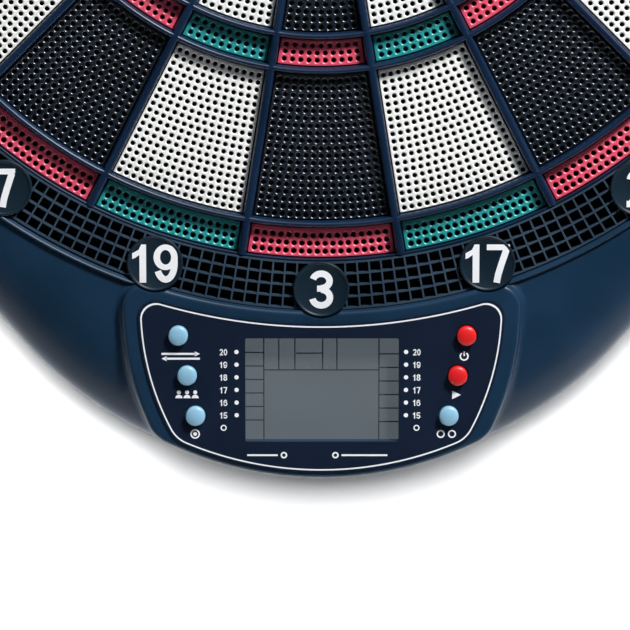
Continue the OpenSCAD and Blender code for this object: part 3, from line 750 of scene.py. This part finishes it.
def cell_grid():
    """The catch ring: rows of deep cells between thin round and radial walls."""
    pitch = (CATCH_R - CATCH_INNER_R - CELL_WALL) / CELL_ROWS
    walls = [CATCH_INNER_R + CELL_WALL / 2 + k * pitch for k in range(CELL_ROWS + 1)]
    step = 360 / CELL_COUNT
    t = CELL_WALL / 2
    verts, faces = [], []

    def add(points):
        start = len(verts)
        verts.extend(points)
        return start

    n = CELL_COUNT
    edges = [CATCH_INNER_R] + walls[1:-1] + [CATCH_R]
    grid = [
        add([(*polar(r, -90 + step * i), CATCH_TOP) for i in range(n)]) for r in edges
    ]
    for k in range(CELL_ROWS):
        low, high = walls[k] + t, walls[k + 1] - t
        for i in range(n):
            a0, a1 = -90 + step * i, -90 + step * (i + 1)
            corners = [(low, a0, 1), (high, a0, 1), (high, a1, -1), (low, a1, -1)]
            for depth in (CATCH_TOP, CELL_FLOOR):
                add([
                    (*polar(r, a + side * math.degrees(t / r)), depth) for r, a, side in corners
                ])
            pit = len(verts) - 8
            j = (i + 1) % n
            outer = [grid[k] + i, grid[k + 1] + i, grid[k + 1] + j, grid[k] + j]
            for q in range(4):
                w = (q + 1) % 4
                faces.append((outer[q], outer[w], pit + w, pit + q))
                faces.append((pit + q, pit + w, pit + 4 + w, pit + 4 + q))
            faces.append((pit + 4, pit + 5, pit + 6, pit + 7))
    base = CELL_FLOOR - CELL_FLOOR_T
    outside = [
        add([(*polar(r, -90 + step * i), h) for i in range(n)])
        for r, h in (
            (CATCH_R, CELL_FLOOR), (CATCH_FLANGE_R, CELL_FLOOR), (CATCH_FLANGE_R, base),
            (CATCH_INNER_R, base),
        )
    ]
    loop = [grid[-1], *outside, grid[0]]
    for a, b in zip(loop, loop[1:]):
        faces.extend((a + i, a + (i + 1) % n, b + (i + 1) % n, b + i) for i in range(n))
    return verts, faces


def make_catch_ring():
    post_top = base_of("number_discs") - 0.05
    posts = [
        turned([(POST_R, post_top), (POST_R, CELL_FLOOR - 1)], 64, polar(DISC_RING_R, WEDGE * i))
        for i in range(len(ORDER))
    ]
    mesh = combined("cell_ring", cell_grid(), [("UNION", p) for p in posts])
    show("cell_ring", mesh, FINISHES["ring_plastic"], "root", ["catch_ring"])


def make_discs():
    top, base = top_of("number_discs"), base_of("number_discs")
    profile = [
        (0.5, top - 0.5), (9.6, top - 0.5), (9.85, top - 0.38), (10.1, top - 0.08), (10.3, top),
        (10.6, top), (10.85, top - 0.1), (10.97, top - 0.35), (11, top - 0.6), (11, base), (0.5, base),
    ]
    shape = join(*[
        turned(profile, 96, polar(DISC_RING_R, WEDGE * i)) for i in range(len(ORDER))
    ])
    show(
        "discs", mesh_of("discs", shape, 50), FINISHES["disc_plastic"], "root",
        ["number_discs"],
    )


# ---------- numerals ----------

STROKE = 2.55
CAP = 15.1


def strip(points, width):
    """Outline of a stroke with flat ends along a line of points."""
    left, right = [], []
    for i, p in enumerate(points):
        before = Vector(points[max(i - 1, 0)])
        after = Vector(points[min(i + 1, len(points) - 1)])
        way = (after - before).normalized()
        off = Vector((-way.y, way.x)) * width / 2
        left.append((p[0] + off.x, p[1] + off.y))
        right.append((p[0] - off.x, p[1] - off.y))
    return left + right[::-1]


def bow(cx, cy, rx, ry, a0, a1, n=20):
    """Points along an ellipse."""
    return [
        (
            cx + rx * math.cos(math.radians(a0 + (a1 - a0) * k / n)),
            cy + ry * math.sin(math.radians(a0 + (a1 - a0) * k / n)),
        )
        for k in range(n + 1)
    ]


def numeral(digit):
    """Outlines of a bold numeral that stands on 0 and is CAP high, and its width."""
    s, h = STROKE, CAP
    u = s / 2
    w = 9.4
    m = w / 2
    if digit == "1":
        return [
            [(2.9, 0), (5.5, 0), (5.5, h), (3.6, h), (2.9, 12.6)],
            [(3.6, h), (2.6, 13.0), (0.1, 11.6), (0.1, 9.4), (1.2, 9.8), (2.9, 11.0), (2.9, 12.6)],
        ], 5.5
    if digit == "2":
        return [
            strip(bow(m, h - m, m - u, m - u, 172, -32) + [(4.6, 4.9), (1.9, 1.6)], s),
            [(0.1, 0), (w, 0), (w, s - 0.1), (0.1, s - 0.1)],
        ], w
    if digit == "3":
        r = 4.05
        return [
            strip(bow(m, h - r - 0.1, m - u - 0.15, r - u + 0.1, 165, -90), s),
            strip(bow(m, r + 0.35, m - u, r - u + 0.35, 90, -170), s),
            [(m - 1.6, 6.75), (m + 0.4, 6.75), (m + 0.4, 9.1), (m - 1.6, 9.1)],
        ], w
    if digit == "4":
        return [
            [(5.4, 0), (8.0, 0), (8.0, h), (5.4, h)],
            [(0, 3.4), (w + 0.4, 3.4), (w + 0.4, 5.7), (0, 5.7)],
            [(0, 3.4), (0, 5.9), (5.6, h), (8.0, h), (8.0, 13.0), (2.6, 5.0), (2.6, 3.4)],
        ], w + 0.4
    if digit == "5":
        return [
            [(1.4, h - 2.4), (w - 0.5, h - 2.4), (w - 0.5, h), (1.0, h)],
            [(1.0, h), (0.3, 6.9), (2.6, 6.6), (3.4, h - 1)],
            strip(bow(m, 4.75, m - u, 3.6, 140, -170), s),
        ], w
    if digit in "69":
        outer = bow(m, 5.05, m, 5.05, 0, 360, 40)[:-1]
        inner = bow(m, 5.05, m - s, 2.9, 0, 360, 40)[:-1]
        tail = strip(bow(m, 7.6, m - u, 7.5 - u, 180, 28), s)
        left = [(0, 5.05), (s, 5.05), (s, 7.6), (0, 7.6)]
        shapes = [outer, tail, left]
        if digit == "9":
            shapes = [[(w - x, h - y) for x, y in p] for p in shapes]
            inner = [(w - x, h - y) for x, y in inner]
        return shapes, w, [inner]
    if digit == "7":
        return [
            [(0, h - 2.2), (0, h), (9.0, h), (9.0, h - 1.5), (8.5, h - 2.2)],
            strip([(3.9, 0), (4.5, 3.2), (5.7, 7.2), (7.7, h - 1.9)], s),
        ], 9.0
    if digit == "8":
        return [bow(m, 4.3, m, 4.3, 0, 360, 40)[:-1], bow(m, 11.2, m - 0.35, 3.9, 0, 360, 40)[:-1]], w, [
            bow(m, 4.3, m - s, 4.3 - s + 0.2, 0, 360, 32)[:-1],
            bow(m, 11.2, m - 0.35 - s, 3.9 - s + 0.2, 0, 360, 32)[:-1],
        ]
    return [bow(m, h / 2, m, h / 2, 0, 360, 48)[:-1]], w, [
        bow(m, h / 2, m - s, h / 2 - s, 0, 360, 40)[:-1]
    ]


NUMBER_LIMIT = 17.9


def number_outlines(number, centre, scale=1):
    """Outlines of a whole number, centred, with the holes in each digit."""
    drawn = [numeral(d) for d in str(number)]
    gap = 2.9 if "1" in str(number) else 1.7
    total = sum(d[1] for d in drawn) + gap * (len(drawn) - 1)
    narrow = min(1, NUMBER_LIMIT / total)
    x = -total / 2

    def place(outline):
        return [
            (centre[0] + (x + px) * narrow * scale, centre[1] + (py - CAP / 2) * scale)
            for px, py in outline
        ]

    groups = []
    for outlines, width, *holes in drawn:
        groups.append(([place(o) for o in outlines], [place(o) for o in (holes[0] if holes else [])]))
        x += width + gap
    return groups


def make_numerals():
    base = top_of("number_discs") - 0.55
    parts = []
    for i, number in enumerate(ORDER):
        centre = polar(DISC_RING_R, 90 - WEDGE * i)
        for outlines, holes in number_outlines(number, centre):
            parts.append(slab(outlines, holes, base, base + 0.3))
    show(
        "numerals", mesh_of("numerals", join(*parts)), FINISHES["print_white"], "root"
    )


# ---------- housing ----------

TAN_Y = -(CASE_R - LOBE_R) / LOBE_DROP
TAN_X = math.sqrt(1 - TAN_Y * TAN_Y)
TAN_L = math.sqrt(LOBE_DROP**2 - (CASE_R - LOBE_R) ** 2)


def case_outline():
    """Points on the case's outline with the outward direction at each."""
    start = heading((TAN_X, TAN_Y))
    left = [straight_side(k / 24) for k in range(1, 24)]
    right = [((-p[0], p[1]), (-out[0], out[1])) for p, out in reversed(left)]
    top = [(polar(CASE_R, a), polar(1, a)) for a in spaced(start, 180 - start, 288)]
    low = []
    for a in spaced(180 - start, 360 + start, 84):
        x, y = polar(LOBE_R, a)
        low.append(((x, y - LOBE_DROP), polar(1, a)))
    return top + left + low + right


def spaced(a, b, n):
    return [a + (b - a) * k / n for k in range(n + 1)]


def straight_side(share):
    """A point on the case's straight left side, and the outward direction there."""
    run = TAN_L * share
    return (-CASE_R * TAN_X - TAN_Y * run, CASE_R * TAN_Y - TAN_X * run), (-TAN_X, TAN_Y)


def reach(p, out, r):
    """How far inwards from an outline point the circle round the bull lies."""
    b = -(p[0] * out[0] + p[1] * out[1])
    c = p[0] ** 2 + p[1] ** 2 - r * r
    return -b - math.sqrt(b * b - c)


def shoulder(inset):
    """Height of the front skin that far in from the outline."""
    run = 1 - min(max(inset, 0), SHOULDER_W) / SHOULDER_W
    return SHOULDER_LOW + (SHOULDER_TOP - SHOULDER_LOW) * math.sqrt(1 - run * run)


def inset_of(p):
    """How far a point lies inside the case outline."""
    x, y = abs(p[0]), p[1]
    along = x * TAN_Y - y * TAN_X
    if along < 0:
        return CASE_R - math.hypot(x, y)
    if along > TAN_L:
        return LOBE_R - math.hypot(x, y + LOBE_DROP)
    return CASE_R - (x * TAN_X + y * TAN_Y)


SKIN_STEPS = 26
LIP_PROFILE = [
    (LIP_R, 0.7), (LIP_R - 0.15, 0.25), (LIP_R - 0.45, 0.02), (LIP_R - 0.7, 0.02),
    (LIP_R - 1.0, 0.25), (OPENING_R + 0.15, 1.9), (OPENING_R, 2.2),
]


def skin_section(p, out):
    """The housing's closed section at one outline point, as points in board space."""
    to_lip, to_edge = reach(p, out, LIP_R), reach(p, out, OPENING_R)

    def inward(s, h):
        return (p[0] - out[0] * s, p[1] - out[1] * s, h)

    section = [inward(0, REAR_TOP), inward(0, (REAR_TOP + SHOULDER_LOW) / 2)]
    insets = [to_lip * (k / SKIN_STEPS) ** 1.5 for k in range(SKIN_STEPS + 1)]
    section += [inward(s, shoulder(s)) for s in insets]
    section += [inward(reach(p, out, r), LIP_TOP - drop) for r, drop in LIP_PROFILE]
    section.append(inward(to_edge, SHOULDER_TOP - WALL))
    back = [WALL + (to_edge - WALL) * (k / 8) ** 1.5 for k in range(7, -1, -1)]
    section += [inward(s, shoulder(s - WALL) - WALL) for s in back]
    section.append(inward(WALL, REAR_TOP))
    return section


def housing_skin():
    """The front housing's shell without its console."""
    sections = [skin_section(p, out) for p, out in case_outline()]
    n, m = len(sections), len(sections[0])
    verts = [p for s in sections for p in s]
    faces = [
        (i * m + k, i * m + (k + 1) % m, (i + 1) % n * m + (k + 1) % m, (i + 1) % n * m + k)
        for i in range(n)
        for k in range(m)
    ]
    return verts, faces


def mesa():
    """The raised flat of the console: rounded rim, steep flank and a hollow foot on the shoulder."""
    line = console(6, 7.5, 3.5)
    n = len(line)
    outs = []
    for i in range(n):
        way = (Vector(line[(i + 1) % n]) - Vector(line[i - 1])).normalized()
        outs.append((way.y, -way.x))
    if turn(line) < 0:
        outs = [(-x, -y) for x, y in outs]
    rings = []

    def ring(grow, height):
        points = []
        for p, out in zip(line, outs):
            g = min(grow, 0.7 * max(inset_of(p) - 0.5, 0))
            q = (p[0] + out[0] * g, p[1] + out[1] * g)
            points.append((*q, height(q)))
        rings.append(points)

    for grow, drop in ((-2.2, 0), (-1.5, 0.03), (-0.9, 0.2), (-0.4, 0.55), (-0.1, 1.1), (0, 1.8)):
        ring(grow, lambda q, d=drop: MESA_TOP - d)
    for grow, rise in ((0.15, 1.7), (0.5, 0.85), (1.2, 0.3), (2.2, 0.02), (3.0, -0.3)):
        ring(grow, lambda q, d=rise: shoulder(inset_of(q)) + d)
    ring(2.0, lambda q: shoulder(inset_of(q)) - 1.6)
    ring(0, lambda q: SHOULDER_LOW + 0.6)
    return stack(rings)


def rounded_box(centre, size, r=0.6):
    """Outline of a rectangle with rounded corners."""
    hw, hh = size[0] / 2 - r, size[1] / 2 - r
    outline = []
    for sx, sy, a in ((1, 1, 0), (-1, 1, 90), (-1, -1, 180), (1, -1, 270)):
        outline += arc((centre[0] + sx * hw, centre[1] + sy * hh), r, a, a + 90, 5)
    return outline


WELL_WALL = 1.5
GLASS_LAP = 2.5
WINDOW_AT = middle_of("display_glass")
WINDOW = tuple(s - 2 * GLASS_LAP for s in size_of("display_glass"))
BUTTONS = {n: middle_of(n) for n in NODES if n.startswith("button_")}
BUTTON_RIM = 1.4
BUTTON_R = size_of("button_upper_left")[0] / 2 - BUTTON_RIM


def make_housing():
    skin_top = MESA_TOP - WALL
    lens_top = top_of("display_lens")
    seat = [(DISC_R + 0.4, 60), (DISC_R + 0.4, 22)]
    seats = [turned(seat, 96, polar(DISC_RING_R, WEDGE * i)) for i in range(len(ORDER))]
    around = (WINDOW[0] + 2 * WELL_WALL, WINDOW[1] + 2 * WELL_WALL)
    well = slab([rounded_box(WINDOW_AT, around)], [], lens_top, skin_top + 0.2)
    window = slab([rounded_box(WINDOW_AT, WINDOW)], [], lens_top - 3, MESA_TOP + 3)
    steps = [
        ("UNION", mesa()),
        ("DIFFERENCE", turned([(OPENING_R, 60), (OPENING_R, 10)], 192)),
        ("DIFFERENCE", slab([console(3, 5, 1)], [], REAR_TOP - 1, skin_top)),
        ("UNION", well),
        ("DIFFERENCE", window),
    ]
    bore = [(BUTTON_R + 0.35, 50), (BUTTON_R + 0.35, skin_top - 3)]
    steps += [("DIFFERENCE", turned(bore, 48, at)) for at in BUTTONS.values()]
    steps += [("DIFFERENCE", s) for s in seats]
    mesh = combined("housing_front", housing_skin(), steps, 38)
    show("housing_front", mesh, FINISHES["case_plastic"], "root", ["front_housing"])


# ---------- console ----------


def make_overlay():
    top, base = top_of("panel_overlay"), base_of("panel_overlay")
    holes = [circle(at, BUTTON_R + 0.6, 48) for at in BUTTONS.values()]
    holes.append(rounded_box(WINDOW_AT, WINDOW))
    film = slab([console(1.2, 1.2, 1.2)], holes, base, top)
    show(
        "overlay_film", mesh_of("overlay_film", film), FINISHES["overlay_print"],
        "root", ["panel_overlay"],
    )
    line = slab([console(0.28, 0.28, 0.28)], [console(-0.28, -0.28, -0.28)], top - 0.05, top + 0.03)
    show(
        "overlay_line", mesh_of("overlay_line", line), FINISHES["print_white"], "root"
    )
    marks = join(*[slab([o], holes, top - 0.05, top + 0.03) for o, holes in overlay_marks()])
    show(
        "overlay_marks", mesh_of("overlay_marks", marks), FINISHES["print_white"],
        "root",
    )


SCORE_NUMBERS = [20, 19, 18, 17, 16, 15]
SCORE_X = (-33.1, 33.2)
SCORE_LABEL_X = (-38.2, 37.4)
SCORE_TOP = -234.2
SCORE_PITCH = 5.04
EMBLEM_Y = -275.4


def overlay_marks():
    """Printed marks as (outline, holes in it): the score column beside the display on both sides,
    a pictogram under each button and two plain emblems under the display."""
    marks = []
    for dot_x, label_x in zip(SCORE_X, SCORE_LABEL_X):
        for k, number in enumerate(SCORE_NUMBERS):
            y = SCORE_TOP - k * SCORE_PITCH
            marks.append((circle((dot_x, y), 0.85, 24), []))
            for outlines, holes in number_outlines(number, (label_x, y - 0.1), 2.5 / CAP):
                marks += [(o, holes) for o in outlines]
        y = SCORE_TOP - len(SCORE_NUMBERS) * SCORE_PITCH
        marks.append((circle((label_x, y), 1.2, 28), [circle((label_x, y), 0.75, 28)]))
    marks += arrows_icon(-54.9, -235.9)
    marks += people_icon(-52.5, -251.2)
    marks += target_icon(-49.4, -266.9)
    marks += power_icon(55.9, -235.9)
    marks += play_icon(52.8, -251.3)
    marks += pair_icon(49.1, -266.9)
    marks += emblem(-14.6, -29, -17)
    marks += emblem(5.6, 8, 26)
    return marks


def emblem(x, line_from, line_to):
    """A small ring with a line beside it, under the display."""
    line = strip([(line_from, EMBLEM_Y), (line_to, EMBLEM_Y)], 0.7)
    rim, hole = [circle((x, EMBLEM_Y), r, 28) for r in (1.3, 0.7)]
    return [(line, []), (rim, [hole])]


def ring_mark(x, y, r, w):
    return (circle((x, y), r, 32), [circle((x, y), r - w, 32)])


def arrows_icon(x, y):
    marks = []
    for side in (-1, 1):
        level = y + side * 0.95
        tip = x + side * 7.5
        marks.append((strip([(x - side * 7.5, level), (tip - side * 1.6, level)], 0.8), []))
        marks.append(([(tip, level), (tip - side * 2, level + 1), (tip - side * 2, level - 1)], []))
    return marks


def people_icon(x, y):
    marks = []
    for k in (-1, 0, 1):
        marks.append((circle((x + 3.2 * k, y + 0.95), 0.8, 20), []))
        marks.append((bow(x + 3.2 * k, y - 1.4, 1.4, 1.4, 0, 180, 12), []))
    return marks


def target_icon(x, y):
    return [ring_mark(x, y, 1.9, 0.55), (circle((x, y), 0.75, 20), [])]


def power_icon(x, y):
    return [
        (strip(bow(x, y, 1.5, 1.5, 125, 415, 28), 0.6), []),
        (strip([(x, y + 0.1), (x, y + 2)], 0.6), []),
    ]


def play_icon(x, y):
    return [([(x - 1.5, y - 1.7), (x + 1.9, y), (x - 1.5, y + 1.7)], [])]


def pair_icon(x, y):
    return [ring_mark(x - 2.2, y, 1.6, 0.55), ring_mark(x + 2.2, y, 1.6, 0.55)]


DISPLAY_SIDES = (-22.5, 22.7)
DISPLAY_COLUMNS = (-16.6, -10.3, 0.6, 6.2)
DISPLAY_BAND = -242.55
DISPLAY_SHELF = ((-9.8, -235.85), (0.3, -235.85))
DISPLAY_ROWS = 6
DISPLAY_LINE_W = 0.46


def make_display():
    """The printed grid of the liquid crystal display, on the glass: two side columns of boxes,
    and a band of boxes over the open field between them."""
    top = top_of("display_glass")
    left, right = WINDOW_AT[0] - WINDOW[0] / 2, WINDOW_AT[0] + WINDOW[0] / 2
    high = WINDOW_AT[1] + WINDOW[1] / 2 + 2
    low = WINDOW_AT[1] - WINDOW[1] / 2 - 1
    first, last = DISPLAY_SIDES
    lines = [((x, low), (x, high)) for x in DISPLAY_SIDES]
    lines += [((first, DISPLAY_BAND), (last, DISPLAY_BAND)), DISPLAY_SHELF]
    lines += [((x, DISPLAY_BAND), (x, high)) for x in DISPLAY_COLUMNS]
    for k in range(DISPLAY_ROWS):
        y_left, y_right = -235.55 - 5.41 * k, -236.15 - 5.42 * k
        lines += [((left - 1, y_left), (first, y_left)), ((last, y_right), (right + 1, y_right))]
    marks = join(*[slab([strip(line, DISPLAY_LINE_W)], [], top - 0.02, top + 0.03) for line in lines])
    show(
        "display_grid", mesh_of("display_grid", marks), FINISHES["display_line"], "root"
    )


CROWN_H = 1.25
STEM_R = 2
RED_BUTTONS = ("button_upper_right", "button_middle_right")


def make_buttons():
    for node, at in BUTTONS.items():
        top, base = top_of(node), base_of(node)
        flange_top = MESA_TOP - WALL - 0.1
        profile = [
            (max(BUTTON_R * y, 0.05), top - CROWN_H * (1 - x))
            for x, y in (polar(1, a) for a in range(0, 91, 10))
        ]
        profile += [
            (BUTTON_R, flange_top), (BUTTON_R + BUTTON_RIM, flange_top),
            (BUTTON_R + BUTTON_RIM, flange_top - BUTTON_RIM), (STEM_R, flange_top - BUTTON_RIM),
            (STEM_R, base),
        ]
        slot = "button_red" if node in RED_BUTTONS else "button_blue"
        body = [b for b, e in frame["bodies"].items() if NODES[node].parent == e][0]
        mesh = mesh_of(node + "_cap", turned(profile, 64, at), 40)
        show(node + "_cap", mesh, FINISHES[slot], body, [node])


# ---------- stage, light and camera ----------


def plain(name, colour, one_sided=False):
    """A plain pale finish for the wall and the floor. A one-sided wall can't be seen from behind."""
    made = bpy.data.materials.new(name)
    made.use_nodes = True
    nodes, links = made.node_tree.nodes, made.node_tree.links
    shader = nodes["Principled BSDF"]
    shader.inputs["Base Color"].default_value = (*colour, 1)
    shader.inputs["Roughness"].default_value = 0.9
    if one_sided:
        side = nodes.new("ShaderNodeNewGeometry")
        clear = nodes.new("ShaderNodeBsdfTransparent")
        mix = nodes.new("ShaderNodeMixShader")
        links.new(side.outputs["Backfacing"], mix.inputs[0])
        links.new(shader.outputs["BSDF"], mix.inputs[1])
        links.new(clear.outputs["BSDF"], mix.inputs[2])
        links.new(mix.outputs["Shader"], nodes["Material Output"].inputs["Surface"])
    return made


def panel(name, corners, material):
    mesh = bpy.data.meshes.new(name)
    mesh.from_pydata(corners, [], [(0, 1, 2, 3)])
    mesh.materials.append(material)
    obj = bpy.data.objects.new(name, mesh)
    bpy.context.scene.collection.objects.link(obj)
    return obj


def make_stage():
    low = CAD_BOX[0].z - 0.5
    back = 0.002
    wide = 6
    deep = 0.5
    wall = panel(
        "wall", [(-wide, back, low), (wide, back, low), (wide, back, wide), (-wide, back, wide)],
        plain("wall_paint", (0.9, 0.9, 0.9), one_sided=True),
    )
    panel(
        "floor", [(-wide, -deep, low), (wide, -deep, low), (wide, back, low), (-wide, back, low)],
        plain("floor_paint", (0.8, 0.8, 0.8)),
    )
    return wall


def area_light(name, place, target, size, power, colour=(1, 1, 1)):
    data = bpy.data.lights.new(name, "AREA")
    data.shape = "RECTANGLE"
    data.size, data.size_y = size
    data.energy = power
    data.color = colour
    obj = bpy.data.objects.new(name, data)
    bpy.context.scene.collection.objects.link(obj)
    obj.location = place
    obj.rotation_mode = "QUATERNION"
    obj.rotation_quaternion = (Vector(place) - Vector(target)).to_track_quat("Z", "Y")
    return obj


def make_world():
    """A dim studio: brighter overhead, dark towards the floor."""
    world = bpy.data.worlds.new("studio")
    world.use_nodes = True
    nodes, links = world.node_tree.nodes, world.node_tree.links
    where = nodes.new("ShaderNodeTexCoord")
    parts = nodes.new("ShaderNodeSeparateXYZ")
    ramp = nodes.new("ShaderNodeValToRGB")
    ramp.color_ramp.elements[0].position = 0.45
    ramp.color_ramp.elements[0].color = (0.03, 0.035, 0.05, 1)
    ramp.color_ramp.elements[1].position = 1
    ramp.color_ramp.elements[1].color = (0.8, 0.9, 1, 1)
    up = nodes.new("ShaderNodeMapRange")
    up.inputs["From Min"].default_value = -1
    up.inputs["From Max"].default_value = 1
    links.new(where.outputs["Generated"], parts.inputs["Vector"])
    links.new(parts.outputs["Z"], up.inputs["Value"])
    links.new(up.outputs["Result"], ramp.inputs["Fac"])
    links.new(ramp.outputs["Color"], nodes["Background"].inputs["Color"])
    nodes["Background"].inputs["Strength"].default_value = 0.25
    bpy.context.scene.world = world


BACK_NODES = [
    "rear_cover", "rear_screws", "battery_door", "wall_pads", "speaker", "power_socket",
    "batteries", "battery_contacts",
]


def group(name, objects):
    """A collection that names what a light falls on. It isn't shown by itself."""
    made = bpy.data.collections.new(name)
    for obj in objects:
        made.objects.link(obj)
    return made


def make_lights(wall):
    make_world()
    key = area_light("key", (0.75, -0.86, 1.15), (0, 0, -0.15), (0.3, 0.3), 47)
    not_wall = group("not_wall", [wall])
    not_wall.collection_objects[0].light_linking.link_state = "EXCLUDE"
    key.light_linking.receiver_collection = not_wall
    area_light("overhead", (0.5, -1.2, 1.8), (0, 0, -0.1), (1.2, 0.8), 3, (0.85, 0.93, 1))
    backdrop = area_light("backdrop", (0, -1.5, 0.6), (0, 0, -0.2), (1.0, 1.0), 80)
    backdrop.light_linking.receiver_collection = group("wall_only", [wall])
    rear = area_light("rear", (0.8, 1.8, 1.0), (0, 0, 0), (1.5, 1.5), 120)
    back_pieces = group("back_pieces", [NODES[n] for n in BACK_NODES])
    rear.light_linking.receiver_collection = back_pieces
    rear.light_linking.blocker_collection = back_pieces


def make_camera():
    pitch = math.radians(10.15)
    distance = 1.698
    target = Vector((-0.0024, -0.035, -0.2203))
    data = bpy.data.cameras.new("camera")
    data.sensor_width = 36
    data.lens = 248
    obj = bpy.data.objects.new("camera", data)
    bpy.context.scene.collection.objects.link(obj)
    back = Vector((0, -math.cos(pitch), math.sin(pitch)))
    obj.location = target + back * distance
    obj.rotation_mode = "QUATERNION"
    obj.rotation_quaternion = back.to_track_quat("Z", "Y")
    bpy.context.scene.camera = obj


finish_cad_nodes()
make_segments()
make_bulls()
make_web()
make_catch_ring()
make_discs()
make_numerals()
make_housing()
make_overlay()
make_display()
make_buttons()
make_lights(make_stage())
make_camera()
bpy.context.scene.view_settings.view_transform = "Standard"
